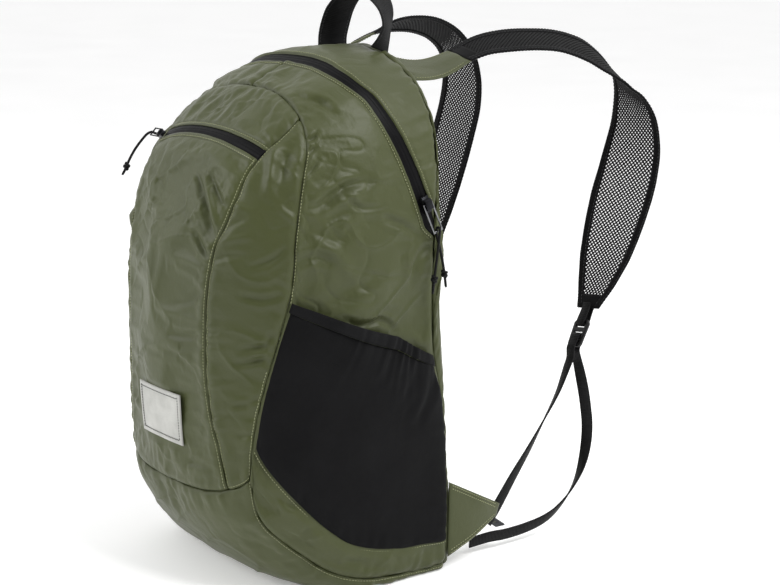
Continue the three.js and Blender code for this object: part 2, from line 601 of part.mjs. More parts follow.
function strap(tag, table) {
  const rows = route(table, 32, behind);
  const frame = stripFrame(rows);
  const offsets = (f) => [-f.half, -f.half + BINDING, f.half - BINDING, f.half];
  const sheet = (spots, lift) => frame.map((f, i) => spots(f, i).map((s) => f.at.clone()
    .addScaledVector(f.across, s).addScaledVector(f.up, lift)));
  const last = frame.length - 2;
  add(slab(`strap_binding_${tag}`, sheet(offsets, 1.1), sheet(offsets, -1.1),
    (i, j) => j !== 1 || i === 0 || i === last));
  const inner = frame.slice(1, -1);
  const meshRow = (f) => [-f.half + BINDING + SEAM_GAP, f.half - BINDING - SEAM_GAP];
  const endCut = (k) => (k === 0 ? 1 : k === inner.length - 1 ? -1 : 0) * SEAM_GAP;
  const meshSheet = (lift) => inner.map((f, k) => meshRow(f).map((s) => f.at.clone()
    .addScaledVector(f.across, s).addScaledVector(f.along, endCut(k)).addScaledVector(f.up, lift)));
  add(slab(`strap_mesh_${tag}`, meshSheet(0.6), meshSheet(-0.6)));
  return frame;
}
const strapRight = strap('right', STRAP_RIGHT);
const strapLeft = strap('left', STRAP_LEFT);

// upper wings from the crown of the back panel to the strap ends
function upperWing(tag, side, frame) {
  const end = frame[0];
  const root = side > 0 ? V(0.37 * HALF, BACK_REACH, 0.968 * HEIGHT)
    : V(-0.42 * HALF, BACK_REACH, 0.985 * HEIGHT);
  const lean = V(0.86, -0.05, side > 0 ? -0.34 : 0.30);
  const wide = side > 0 ? 27 : 23;
  const spots = [];
  for (let k = 0; k <= 6; k++) {
    const f = k / 6;
    spots.push([-1, -0.5, 0, 0.5, 1].map((s) => {
      const tip = end.at.clone().addScaledVector(end.along, -2 * SEAM_GAP)
        .addScaledVector(end.across, s * end.half);
      const p = push(root.clone().addScaledVector(lean, s * wide), 0.9).lerp(tip, f);
      p.z -= 6 * Math.sin(Math.PI * f) * (side > 0 ? 1 : 0.2);
      return p;
    }));
  }
  const layer = (lift) => spots.map((row, k) => row.map((p, j) => {
    const along = spots[Math.min(6, k + 1)][j].clone().sub(spots[Math.max(0, k - 1)][j]);
    const across = row[Math.min(4, j + 1)].clone().sub(row[Math.max(0, j - 1)]);
    const n = k === 6 ? end.up.clone() : along.cross(across).normalize();
    return p.clone().addScaledVector(n, lift);
  }));
  add(slab(`upper_wing_${tag}`, layer(1.1), layer(-1.1)));
}
upperWing('right', 1, strapRight);
upperWing('left', -1, strapLeft);

// lower wings: cloth triangles from the back seam to the adjuster webbing
function lowerWing(tag, side) {
  const base = [V(0.905 * HALF, 0.86 * BACK_REACH, 0.175 * HEIGHT),
    V(0.925 * HALF, 0.86 * BACK_REACH, 0.022 * HEIGHT)].map((p) => push(p, SEAM_GAP));
  const tip = [behind([0.862, 0.222, 0.100]), behind([0.862, 0.205, 0.076])];
  const outer = [];
  const inner = [];
  for (let i = 0; i <= 5; i++) {
    outer.push([]);
    inner.push([]);
    for (let j = 0; j <= 2; j++) {
      const a = base[0].clone().lerp(base[1], j / 2);
      const b = tip[0].clone().lerp(tip[1], j / 2);
      const p = a.lerp(b, i / 5);
      const q = p.clone();
      q.x += 1.2 + 3 * Math.sin((Math.PI * i) / 5);
      p.x = q.x + 2.0;
      outer[i].push(side > 0 ? p : mirror(p));
      inner[i].push(side > 0 ? q : mirror(q));
    }
  }
  add(slab(`lower_wing_${tag}`, outer, inner));
}
lowerWing('right', 1);
lowerWing('left', -1);
// sewn end of the webbing that sticks out under each wing tip
function webbingEnd(tag, side) {
  const from = behind([0.821, 0.186, 0.072]);
  const along = V(-0.05, 0.81, -0.58);
  const across = V(0.87, 0.32, 0.37);
  const turn = (v) => (side > 0 ? v : mirror(v));
  const rows = [0, 8, 16, 21].map((d) => ({ at: turn(from.clone().addScaledVector(along, d)),
    across: turn(across.clone()), half: WEB / 2 }));
  add(strip(`webbing_end_${tag}`, rows, WEB_THICK));
}
webbingEnd('right', 1);
webbingEnd('left', -1);

// ladder buckle: a frame with two bars, in the plane of the strap end
const BUCKLE = { width: 18, length: 26, thick: 3 };
function place(mesh, frame, off = V(0, 0, 0)) {
  const m = new THREE.Matrix4().makeBasis(frame.across, frame.along, frame.across.clone().cross(frame.along));
  m.setPosition(frame.at.clone().addScaledVector(frame.across, off.x).addScaledVector(frame.along, off.y)
    .addScaledVector(frame.across.clone().cross(frame.along), off.z));
  mesh.geometry.applyMatrix4(m);
  if (m.determinant() < 0) throw new Error('left-handed frame');
  return mesh;
}
function rectangle(w, h, cx = 0, cy = 0, Kind = THREE.Shape) {
  const s = new Kind();
  s.moveTo(cx - w / 2, cy - h / 2);
  s.lineTo(cx + w / 2, cy - h / 2);
  s.lineTo(cx + w / 2, cy + h / 2);
  s.lineTo(cx - w / 2, cy + h / 2);
  s.closePath();
  return s;
}
function plate(name, shape, thick) {
  const g = new THREE.ExtrudeGeometry(shape, { depth: thick, bevelEnabled: false, curveSegments: 4 });
  g.translate(0, 0, -thick / 2);
  const mesh = new THREE.Mesh(g, finish(name));
  mesh.name = name;
  return mesh;
}
function buckle(tag, frame) {
  const s = new THREE.Shape();
  const w = BUCKLE.width / 2;
  const h = BUCKLE.length / 2;
  s.moveTo(-w + 2, -h); s.lineTo(w - 2, -h); s.lineTo(w, -h + 3); s.lineTo(w - 1, h - 2);
  s.lineTo(w - 3, h); s.lineTo(-w + 3, h); s.lineTo(-w + 1, h - 2); s.lineTo(-w, -h + 3);
  s.closePath();
  s.holes.push(rectangle(11.4, 4.6, 0, -h + 5.2, THREE.Path));
  s.holes.push(rectangle(11.4, 4.4, 0, 0.6, THREE.Path));
  s.holes.push(rectangle(11.4, 4.2, 0, h - 4.9, THREE.Path));
  return place(plate(`buckle_${tag}`, s, BUCKLE.thick), frame);
}
// webbing that ties strap and buckle, and the adjuster webbing threaded through the buckle
function hardware(tag, frame, loadTable, tailTable) {
  const end = frame[frame.length - 1];
  const along = end.along.clone();
  const across = end.across.clone();
  const normal = across.clone().cross(along);
  const spot = (a, n) => end.at.clone().addScaledVector(along, a).addScaledVector(normal, n);
  // distances from the strap end along it, and from the strap's middle plane
  const h = BUCKLE.length / 2;
  const centre = 12 + h;
  const fold = [[-4, 2.8], [0, 2.4], [5, 2.5], [10, 2.9], [14.6, 2.9], [16.6, 1.8], [17.3, 0],
    [16.6, -1.8], [14.6, -2.9], [10, -2.9], [5, -2.5], [0, -2.4], [-4, -2.8]];
  const webRows = (list) => list.map(([a, n]) => ({ at: spot(a, n), across, half: WEB / 2 }));
  add(strip(`strap_end_web_${tag}`, webRows(fold), WEB_THICK));
  add(buckle(tag, { at: spot(centre, 0), along, across }));
  const threaded = [[40, -3.3], [34, -2.8], [29.5, -2.7], [27.6, -2.6], [25.9, -1.7], [25.2, 0],
    [25.9, 1.7], [27.6, 2.6], [29.5, 2.7], [34, 2.8], [40, 3.3]];
  const load = route(loadTable, 15, behind).slice(1).reverse();
  const tail = route(tailTable, 24, behind).slice(1);
  add(strip(`adjuster_webbing_${tag}`, [...load, ...webRows(threaded), ...tail], WEB_THICK));
}
const LOAD_RIGHT = [
  [0.740, 0.640, 0.376, 1.00, 0.00, 0.00, 5], [0.752, 0.602, 0.338, 0.98, -0.14, 0.12, 5],
  [0.764, 0.552, 0.290, 0.88, -0.36, 0.30, 5], [0.780, 0.478, 0.240, 0.72, -0.50, 0.46, 5],
  [0.800, 0.398, 0.190, 0.46, -0.62, 0.58, 5], [0.826, 0.310, 0.142, 0.20, -0.70, 0.65, 5],
  [0.858, 0.228, 0.098, 0.00, -0.74, 0.67, 5], [0.863, 0.172, 0.062, 0.00, -0.74, 0.67, 5],
];
const TAIL_RIGHT = [
  [0.739, 0.650, 0.376, 1.00, 0.00, 0.00, 5], [0.746, 0.676, 0.321, 0.86, 0.48, 0.00, 5],
  [0.761, 0.693, 0.268, 0.64, 0.76, 0.00, 5], [0.775, 0.702, 0.202, 0.74, 0.64, 0.10, 5],
  [0.790, 0.675, 0.138, 0.92, 0.20, 0.25, 5], [0.800, 0.622, 0.088, 0.81, -0.42, 0.41, 5],
  [0.808, 0.545, 0.052, 0.58, -0.48, 0.66, 5], [0.812, 0.470, 0.034, 0.32, -0.30, 0.90, 5],
  [0.815, 0.376, 0.026, 0.14, -0.10, 1.00, 5], [0.818, 0.280, 0.024, 0.10, 0.00, 1.00, 5],
  [0.818, 0.203, 0.026, 0.10, 0.00, 1.00, 5], [0.812, 0.114, 0.023, 0.15, 0.00, 1.00, 5],
];
const LOAD_LEFT = [
  [-0.640, 0.394, 0.372, 1.00, 0.00, 0.00, 5], [-0.672, 0.362, 0.328, 0.98, 0.14, -0.12, 5],
  [-0.705, 0.332, 0.280, 0.88, 0.36, -0.30, 5], [-0.745, 0.302, 0.230, 0.72, 0.50, -0.46, 5],
  [-0.785, 0.274, 0.182, 0.46, 0.62, -0.58, 5], [-0.826, 0.250, 0.140, 0.20, 0.70, -0.65, 5],
  [-0.858, 0.218, 0.098, 0.00, 0.74, -0.67, 5], [-0.863, 0.172, 0.062, 0.00, 0.74, -0.67, 5],
];
const TAIL_LEFT = [
  [-0.640, 0.420, 0.366, 1.00, 0.00, 0.00, 5], [-0.655, 0.455, 0.318, 1.00, 0.10, 0.00, 5],
  [-0.672, 0.480, 0.262, 0.96, 0.24, 0.00, 5], [-0.690, 0.485, 0.208, 0.92, 0.36, 0.00, 5],
  [-0.712, 0.470, 0.150, 0.92, 0.30, -0.10, 5], [-0.735, 0.440, 0.100, 0.88, 0.15, -0.35, 5],
  [-0.756, 0.400, 0.060, 0.70, 0.10, -0.60, 5], [-0.774, 0.345, 0.036, 0.42, 0.05, -0.85, 5],
  [-0.790, 0.270, 0.026, 0.20, 0.00, -1.00, 5], [-0.800, 0.190, 0.024, 0.12, 0.00, -1.00, 5],
  [-0.800, 0.114, 0.024, 0.12, 0.00, -1.00, 5],
];
hardware('right', strapRight, LOAD_RIGHT, TAIL_RIGHT);
hardware('left', strapLeft, LOAD_LEFT, TAIL_LEFT);

// haul loop: webbing standing on the crown behind the yoke
const HANDLE = [
  [-0.255, 0.800, 0.000, 0.45, 0.89, 0.00], [-0.285, 0.850, 0.200, 0.45, 0.89, 0.00],
  [-0.290, 0.900, 0.420, 0.42, 0.90, 0.00], [-0.262, 0.930, 0.660, 0.34, 0.94, 0.00],
  [-0.190, 0.940, 0.870, 0.20, 0.98, 0.00], [-0.095, 0.940, 1.000, 0.08, 1.00, 0.00],
  [0.095, 0.930, 1.000, -0.05, 1.00, 0.00], [0.180, 0.920, 0.880, -0.25, 0.96, 0.00],
  [0.245, 0.910, 0.670, -0.50, 0.86, 0.00], [0.272, 0.890, 0.420, -0.62, 0.78, 0.00],
  [0.268, 0.850, 0.200, -0.50, 0.86, 0.00], [0.255, 0.800, 0.000, -0.25, 0.97, 0.00],
];
function handle() {
  const low = push(V(0.255 * HALF, 0.800 * BACK_REACH, HEIGHT), 0.5);
  const rows = HANDLE.map((r) => ({
    at: V(r[0] * HALF, r[1] * BACK_REACH, low.z + r[2] * HANDLE_RISE),
    across: V(r[3], r[4], r[5]).normalize(),
    half: HANDLE_WEB / 2,
  }));
  const fineRows = [];
  for (let k = 0; k < rows.length - 1; k++) {
    fineRows.push(rows[k]);
    if (k === 5) continue;
    const t = k + 0.5;
    const p = smoothRow(rows.map((r) => [r.at.x, r.at.y, r.at.z, r.across.x, r.across.y, r.across.z]), t);
    fineRows.push({ at: V(p[0], p[1], p[2]), across: V(p[3], p[4], p[5]).normalize(), half: HANDLE_WEB / 2 });
  }
  fineRows.push(rows[rows.length - 1]);
  add(strip('haul_loop', fineRows, 1.8));
}
handle();

// tube with its own radius at every point, closed at both ends
function cord(name, points, radii, sides = 8) {
  const rings = [];
  let ref = V(0, 1, 0);
  points.forEach((p, i) => {
    const t = points[Math.min(points.length - 1, i + 1)].clone().sub(points[Math.max(0, i - 1)]).normalize();
    if (Math.abs(ref.dot(t)) > 0.95) ref = V(1, 0, 0);
    const a = ref.clone().addScaledVector(t, -ref.dot(t)).normalize();
    const b = t.clone().cross(a);
    ref = a.clone();
    rings.push(Array.from({ length: sides }, (_, k) => {
      const w = (2 * Math.PI * k) / sides;
      return p.clone().addScaledVector(a, radii[i] * Math.cos(w)).addScaledVector(b, radii[i] * Math.sin(w));
    }));
  });
  const pos = [];
  const tris = [];
  rings.forEach((r) => r.forEach((p) => pos.push(p.x, p.y, p.z)));
  const id = (i, k) => i * sides + (k % sides);
  for (let i = 0; i < rings.length - 1; i++) {
    for (let k = 0; k < sides; k++) {
      tris.push([id(i, k), id(i, k + 1), id(i + 1, k + 1)], [id(i, k), id(i + 1, k + 1), id(i + 1, k)]);
    }
  }
  for (const [i, turn] of [[0, 1], [rings.length - 1, -1]]) {
    const c = pos.length / 3;
    pos.push(points[i].x, points[i].y, points[i].z);
    for (let k = 0; k < sides; k++) {
      tris.push(turn > 0 ? [c, id(i, k + 1), id(i, k)] : [c, id(i, k), id(i, k + 1)]);
    }
  }
  return closed(name, pos, tris);
}

// main zip slider at the back seam end, with its wire bail and corded pull
function mainPull() {
  const line = seam(ZIP_LINE, 60);
  const k = 54;
  const p = line[k];
  const n = normalAt(p);
  const t = line[k + 2].clone().sub(line[k - 2]).normalize();
  const across = n.clone().cross(t).normalize();
  const local = (a, s, h) => p.clone().addScaledVector(t, a).addScaledVector(across, s).addScaledVector(n, h);
  const side = new THREE.Shape();
  side.moveTo(-7, 0); side.lineTo(7, 0); side.lineTo(7, 2.8); side.lineTo(5, 3.2); side.lineTo(4, 6.4);
  side.lineTo(-4, 6.4); side.lineTo(-5, 3.2); side.lineTo(-7, 2.8);
  side.closePath();
  side.holes.push(rectangle(6, 2.4, 0, 4.2, THREE.Path));
  const body = plate('main_zip_slider', side, 7);
  const m = new THREE.Matrix4().makeBasis(t, n, t.clone().cross(n));
  m.setPosition(local(0, 0, 0.7));
  body.geometry.applyMatrix4(m);
  add(body);
  // the bail hangs from the slider's bridge down along the zip
  const bail = new THREE.Shape();
  bail.moveTo(-5.2, -1.2); bail.lineTo(5.2, -1.2); bail.lineTo(5.2, 24); bail.lineTo(-5.2, 24);
  bail.closePath();
  bail.holes.push(rectangle(7.8, 22.6, 0, 11.4, THREE.Path));
  const wire = plate('main_zip_bail', bail, 1.3);
  const down = t.clone().addScaledVector(n, 0.10).normalize();
  const w = new THREE.Matrix4().makeBasis(across, down, across.clone().cross(down));
  w.setPosition(local(0, 0, 0.7 + 4.2));
  wire.geometry.applyMatrix4(w);
  add(wire);
  const bar = local(0, 0, 4.9).addScaledVector(down, 23.35);
  const lead = across.clone().cross(down).normalize();
  const outward = lead.dot(n) > 0 ? lead : lead.clone().negate();
  const drop = (s, d, o) => bar.clone().addScaledVector(across, s).addScaledVector(V(0, 0, -1), d)
    .addScaledVector(outward, o);
  const pts = [
    drop(-7, 49, 1.0), drop(-6.5, 42, 1.5), drop(-6.0, 38, 1.8), drop(-5.4, 34, 2), drop(-4.0, 24, 2.4),
    drop(-2.2, 12, 2.8), drop(-0.8, 3, 2.8), drop(0, -1.9, 2.1), drop(0, -3.1, 0), drop(0, -1.9, -2.1),
    drop(0.8, 3.5, -2.8), drop(2.4, 13, -1.0), drop(4.6, 26, 0.6), drop(6.0, 35, 1.2), drop(6.8, 39, 1.2),
    drop(7.4, 43, 1.2), drop(8.6, 50, 1.0),
  ];
  const radii = [1.1, 1.3, 2.6, 1.2, 1.1, 1.1, 1.1, 1.05, 1.05, 1.05, 1.1, 1.1, 1.1, 1.2, 2.6, 1.3, 1.1];
  add(cord('main_zip_pull_cord', pts, radii));
}
mainPull();

// front zip slider at the far end, its tab and knotted cord
function frontPull() {
  const top = mirror(princessZip[0]);
  const low = mirror(princessZip[1]);
  const p = push(top.clone().lerp(low, 0.5).addScaledVector(V(1, 0, 0), 6));
  const n = normalAt(p);
  const t = V(-1, 0, 0).addScaledVector(n, n.x).normalize();
  const across = n.clone().cross(t).normalize();
  const local = (a, s, h) => p.clone().addScaledVector(t, a).addScaledVector(across, s).addScaledVector(n, h);
  const side = new THREE.Shape();
  side.moveTo(-5.5, 0); side.lineTo(5.5, 0); side.lineTo(5.5, 2.6); side.lineTo(4, 3); side.lineTo(3.2, 5.6);
  side.lineTo(-3.2, 5.6); side.lineTo(-4, 3); side.lineTo(-5.5, 2.6);
  side.closePath();
  side.holes.push(rectangle(4.6, 2.0, 0, 3.7, THREE.Path));
  const body = plate('front_zip_slider', side, 5.2);
  const m = new THREE.Matrix4().makeBasis(t, n, t.clone().cross(n));
  m.setPosition(local(0, 0, 0.6));
  body.geometry.applyMatrix4(m);
  add(body);
  const out = t.clone().multiplyScalar(0.92).addScaledVector(n, 0.38).normalize();
  const bail = new THREE.Shape();
  bail.moveTo(-4.3, -0.9); bail.lineTo(4.3, -0.9); bail.lineTo(4.3, 12.5); bail.lineTo(-4.3, 12.5);
  bail.closePath();
  bail.holes.push(rectangle(6.4, 11.4, 0, 5.8, THREE.Path));
  const wire = plate('front_zip_bail', bail, 1.1);
  const w = new THREE.Matrix4().makeBasis(across, out, across.clone().cross(out));
  w.setPosition(local(0, 0, 0.6 + 3.7));
  wire.geometry.applyMatrix4(w);
  add(wire);
  const bar = local(0, 0, 4.3).addScaledVector(out, 12.0);
  const faceOut = across.clone().cross(out).normalize();
  const lead = (a, h) => bar.clone().addScaledVector(out, a).addScaledVector(faceOut, h);
  const fall = (x, y, z) => bar.clone().add(V(x, y, z));
  const pts = [
    lead(-3.0, 2.9), lead(-1.2, 2.3), lead(1.0, 2.0), lead(3.0, 0.8), fall(-4.0, -3.4, -2.0),
    fall(-4.8, -8.5, -7.0), fall(-5.2, -15.0, -14.5), fall(-5.4, -20.0, -22.0), fall(-5.6, -22.6, -27.0),
    fall(-5.8, -24.2, -30.5), fall(-6.2, -27.5, -36.0),
  ];
  add(cord('front_zip_pull_cord', pts, [1.3, 1.1, 1.1, 1.1, 1.1, 1.1, 1.1, 1.3, 2.7, 1.4, 1.1]));
}
frontPull();

const group = new THREE.Group();
for (const mesh of parts) group.add(mesh);
export default group;
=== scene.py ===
# Looks of the daypack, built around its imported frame. Metres, +Z up, front toward -Y.
import json
import math

import bmesh
import bpy
import numpy as np
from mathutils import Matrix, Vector

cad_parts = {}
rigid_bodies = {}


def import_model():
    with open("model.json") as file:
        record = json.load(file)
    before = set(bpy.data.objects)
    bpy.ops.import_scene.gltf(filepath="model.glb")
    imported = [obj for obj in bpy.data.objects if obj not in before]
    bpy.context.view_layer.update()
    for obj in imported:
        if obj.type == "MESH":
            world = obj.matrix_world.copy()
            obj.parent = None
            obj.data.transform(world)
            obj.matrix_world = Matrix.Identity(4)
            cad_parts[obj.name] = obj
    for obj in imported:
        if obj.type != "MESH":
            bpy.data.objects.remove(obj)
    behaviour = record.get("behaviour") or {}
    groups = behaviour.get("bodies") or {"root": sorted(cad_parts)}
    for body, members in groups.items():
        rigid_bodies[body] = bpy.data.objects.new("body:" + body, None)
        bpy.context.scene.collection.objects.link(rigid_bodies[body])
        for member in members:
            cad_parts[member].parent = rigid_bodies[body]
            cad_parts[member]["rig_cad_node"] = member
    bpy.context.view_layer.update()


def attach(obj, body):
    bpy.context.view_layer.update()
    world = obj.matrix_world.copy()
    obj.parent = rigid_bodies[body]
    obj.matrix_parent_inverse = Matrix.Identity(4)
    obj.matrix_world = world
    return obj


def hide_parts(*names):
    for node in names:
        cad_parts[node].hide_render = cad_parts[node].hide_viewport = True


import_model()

SCENE = bpy.context.scene
MM = 0.001

# the photograph's camera
PHOTO_WIDTH = 780
PHOTO_HEIGHT = 585
AZIMUTH = 54.0
ELEVATION = 11.5
DISTANCE = 1.6
TARGET = (0.0078, 0.0855, 0.2160)
FOCAL_PIXELS = 1800
SENSOR = 36.0

# driving dimensions, as in the part's source
HEIGHT = 0.436
HALF = 0.138
FRONT_REACH = 0.145
BACK_REACH = 0.068
STRAP_REACH = 0.237
ZIP_BAND = 0.014
POCKET_STANDOFF = 0.007
LABEL_WIDTH = 0.068
LABEL_HEIGHT = 0.043
LABEL_MIDDLE = 0.3235
HANDLE_RISE = 0.047
HANDLE_WEB = 0.025
WEB = 0.010
WEB_THICK = 0.0016
BINDING = 0.007

# body levels: height, half width, reach forward, reach back (shares), roundness front, back
LEVELS = [
    [0.000, 0.918, 0.455, 0.950, 3.4, 9.5],
    [0.006, 0.935, 0.515, 0.970, 3.2, 9.5],
    [0.030, 0.948, 0.650, 0.990, 2.9, 9.5],
    [0.070, 0.955, 0.765, 1.000, 2.7, 9.5],
    [0.110, 0.955, 0.855, 1.000, 2.7, 9.5],
    [0.150, 0.955, 0.920, 1.000, 2.8, 9.2],
    [0.190, 0.952, 0.950, 1.000, 2.8, 8.6],
    [0.250, 0.948, 0.970, 1.000, 2.8, 8.0],
    [0.330, 0.944, 0.990, 1.000, 2.7, 7.0],
    [0.440, 0.942, 1.000, 1.000, 2.6, 5.6],
    [0.550, 0.945, 0.995, 1.000, 2.6, 5.0],
    [0.640, 0.945, 0.970, 1.000, 2.6, 5.2],
    [0.730, 0.925, 0.920, 1.000, 2.5, 5.5],
    [0.795, 0.890, 0.820, 1.000, 2.5, 6.0],
    [0.850, 0.835, 0.680, 1.000, 2.4, 6.5],
    [0.890, 0.770, 0.540, 0.995, 2.3, 7.0],
    [0.925, 0.685, 0.390, 0.990, 2.2, 6.5],
    [0.955, 0.565, 0.230, 0.985, 2.1, 6.0],
    [0.980, 0.400, 0.090, 0.975, 2.0, 5.5],
    [0.995, 0.200, 0.020, 0.950, 2.0, 5.0],
    [1.000, 0.000, 0.000, 0.930, 2.0, 5.0],
]
CORE_LOW = 0.25
CORE_HIGH = 0.73
CORE_Y = -0.10
BACK_FLAT = 0.982
PUSH_REACH = 0.4
PUSH_HALVINGS = 26
NORMAL_STEP = 0.0025

# seams, right half, as shares: half width, reach (front if negative, else back), height
ARCH_CROWN = [
    [0.000, -0.350, 0.934], [0.170, -0.352, 0.930], [0.330, -0.362, 0.921],
    [0.480, -0.380, 0.906], [0.594, -0.393, 0.886],
]
ARCH_SIDE = [
    [0.594, -0.393, 0.886], [0.668, -0.412, 0.867], [0.739, -0.440, 0.833], [0.783, -0.490, 0.791],
    [0.812, -0.530, 0.748], [0.833, -0.572, 0.679], [0.833, -0.600, 0.587], [0.800, -0.667, 0.498],
    [0.762, -0.716, 0.431], [0.727, -0.765, 0.358], [0.704, -0.792, 0.291], [0.696, -0.797, 0.236],
]
PRINCESS_TOP = [[0.594, -0.393, 0.886], [0.606, -0.490, 0.862], [0.585, -0.605, 0.834]]
PRINCESS_ZIP = [[0.585, -0.605, 0.834], [0.570, -0.660, 0.815]]
PRINCESS_SIDE = [
    [0.570, -0.660, 0.815], [0.563, -0.720, 0.789], [0.556, -0.785, 0.745], [0.535, -0.840, 0.702],
    [0.500, -0.883, 0.665], [0.478, -0.910, 0.620], [0.463, -0.930, 0.564], [0.456, -0.938, 0.507],
    [0.452, -0.938, 0.433], [0.466, -0.930, 0.376], [0.493, -0.924, 0.330], [0.530, -0.903, 0.275],
    [0.560, -0.875, 0.207],
]
SMILE_MID = [
    [0.560, -0.875, 0.207], [0.400, -0.910, 0.197], [0.217, -0.940, 0.193], [0.000, -0.950, 0.191],
]
SMILE_END = [[0.560, -0.875, 0.207], [0.640, -0.835, 0.218], [0.696, -0.797, 0.236]]
FRONT_ZIP_TOP = [
    [0.585, -0.605, 0.834], [0.480, -0.625, 0.846], [0.300, -0.638, 0.856], [0.150, -0.642, 0.861],
    [0.000, -0.643, 0.863],
]
FRONT_ZIP_LOW = [
    [0.570, -0.660, 0.815], [0.430, -0.680, 0.828], [0.270, -0.693, 0.839], [0.130, -0.698, 0.844],
    [0.000, -0.700, 0.846],
]
SIDE_BOTTOM = [
    [0.696, -0.797, 0.236], [0.700, -0.775, 0.180], [0.722, -0.730, 0.142], [0.752, -0.660, 0.115],
    [0.812, -0.524, 0.076], [0.865, -0.390, 0.046], [0.920, -0.110, 0.022], [0.935, 0.350, 0.012],
    [0.930, 0.840, 0.010],
]
ZIP_LINE = [
    [0.000, -0.090, 0.979], [0.150, -0.088, 0.978], [0.300, -0.085, 0.973], [0.490, -0.080, 0.960],
    [0.645, -0.036, 0.936], [0.746, 0.060, 0.902], [0.820, 0.165, 0.860], [0.877, 0.280, 0.812],
    [0.910, 0.390, 0.762], [0.925, 0.490, 0.715], [0.932, 0.580, 0.672],
]
BACK_CROWN = [
    [0.000, 0.780, 0.996], [0.250, 0.790, 0.986], [0.450, 0.800, 0.965], [0.600, 0.805, 0.928],
    [0.700, 0.800, 0.888], [0.780, 0.785, 0.842], [0.840, 0.745, 0.785], [0.885, 0.690, 0.730],
    [0.905, 0.645, 0.690],
]
BACK_ZIP = [[0.905, 0.645, 0.690], [0.910, 0.615, 0.655]]
BACK_SIDE = [
    [0.910, 0.615, 0.655], [0.910, 0.600, 0.550], [0.905, 0.610, 0.450], [0.890, 0.680, 0.390],
    [0.880, 0.780, 0.335], [0.885, 0.830, 0.250], [0.905, 0.840, 0.150], [0.925, 0.840, 0.060],
    [0.930, 0.840, 0.010],
]
BACK_FOOT = [
    [0.930, 0.840, 0.010], [0.600, 0.870, 0.000], [0.300, 0.875, 0.000], [0.000, 0.875, 0.000],
]
POCKET_TOP = [
    [0.838, -0.600, 0.563], [0.885, -0.490, 0.548], [0.922, -0.340, 0.526], [0.940, -0.150, 0.501],
    [0.942, 0.120, 0.473], [0.930, 0.400, 0.447], [0.915, 0.585, 0.432],
]
POCKET_FRONT = [
    [0.838, -0.600, 0.563], [0.806, -0.662, 0.498], [0.770, -0.712, 0.431], [0.737, -0.758, 0.358],
    [0.716, -0.776, 0.291],
]
POCKET_BACK = [
    [0.915, 0.585, 0.432], [0.900, 0.655, 0.385], [0.888, 0.750, 0.330], [0.893, 0.805, 0.240],
    [0.912, 0.815, 0.150], [0.930, 0.815, 0.062],
]
POCKET_FOOT = [
    [0.930, 0.815, 0.062], [0.948, 0.450, 0.066], [0.948, 0.050, 0.070], [0.920, -0.250, 0.095],
    [0.885, -0.400, 0.130], [0.820, -0.565, 0.190], [0.750, -0.705, 0.250], [0.716, -0.776, 0.291],
]
# straps: half width, reach behind the back panel, height, width direction x, y, z, half width in mm
STRAP_RIGHT = [
    [0.391, 0.239, 0.977, 0.87, -0.38, -0.26, 19], [0.420, 0.336, 0.996, 0.84, -0.42, -0.30, 21],
    [0.455, 0.438, 1.004, 0.81, -0.46, -0.32, 22], [0.486, 0.545, 1.005, 0.79, -0.52, -0.29, 23],
    [0.515, 0.652, 0.999, 0.74, -0.61, -0.26, 24], [0.543, 0.757, 0.982, 0.72, -0.65, -0.23, 25],
    [0.564, 0.840, 0.958, 0.73, -0.66, -0.14, 26], [0.580, 0.900, 0.934, 0.75, -0.66, 0.02, 27],
    [0.595, 0.941, 0.910, 0.79, -0.59, 0.16, 28], [0.609, 0.970, 0.880, 0.92, -0.32, 0.20, 29],
    [0.623, 0.987, 0.833, 0.98, -0.03, 0.16, 30], [0.636, 0.976, 0.778, 0.97, 0.18, 0.11, 31],
    [0.647, 0.949, 0.725, 0.94, 0.32, 0.11, 31], [0.659, 0.910, 0.672, 0.92, 0.36, 0.13, 31],
    [0.674, 0.864, 0.613, 0.93, 0.32, 0.16, 30], [0.690, 0.815, 0.552, 0.96, 0.24, 0.15, 27],
    [0.708, 0.765, 0.497, 0.98, 0.12, 0.14, 21], [0.724, 0.720, 0.456, 0.99, 0.00, 0.12, 14],
]
STRAP_LEFT = [
    [-0.345, 0.120, 1.003, 0.93, 0.10, 0.33, 19], [-0.360, 0.215, 1.022, 0.93, 0.05, 0.35, 21],
    [-0.375, 0.320, 1.028, 0.94, 0.00, 0.34, 22], [-0.392, 0.430, 1.022, 0.95, -0.05, 0.30, 23],
    [-0.410, 0.530, 1.000, 0.97, -0.05, 0.22, 24], [-0.430, 0.605, 0.962, 0.99, 0.00, 0.12, 25],
    [-0.448, 0.640, 0.910, 1.00, 0.04, 0.04, 27], [-0.465, 0.640, 0.852, 1.00, 0.05, 0.00, 29],
    [-0.482, 0.615, 0.790, 1.00, 0.05, 0.00, 30], [-0.498, 0.585, 0.728, 1.00, 0.05, 0.00, 30],
    [-0.516, 0.555, 0.668, 1.00, 0.05, 0.00, 29], [-0.536, 0.525, 0.608, 1.00, 0.04, 0.00, 27],
    [-0.558, 0.492, 0.548, 1.00, 0.03, 0.00, 24], [-0.582, 0.460, 0.492, 1.00, 0.02, 0.00, 19],
    [-0.604, 0.435, 0.448, 1.00, 0.00, 0.00, 13],
]
LOAD_RIGHT = [
    [0.740, 0.640, 0.376, 1.00, 0.00, 0.00, 5], [0.752, 0.602, 0.338, 0.98, -0.14, 0.12, 5],
    [0.764, 0.552, 0.290, 0.88, -0.36, 0.30, 5], [0.780, 0.478, 0.240, 0.72, -0.50, 0.46, 5],
    [0.800, 0.398, 0.190, 0.46, -0.62, 0.58, 5], [0.826, 0.310, 0.142, 0.20, -0.70, 0.65, 5],
    [0.858, 0.228, 0.098, 0.00, -0.74, 0.67, 5], [0.863, 0.172, 0.062, 0.00, -0.74, 0.67, 5],
]
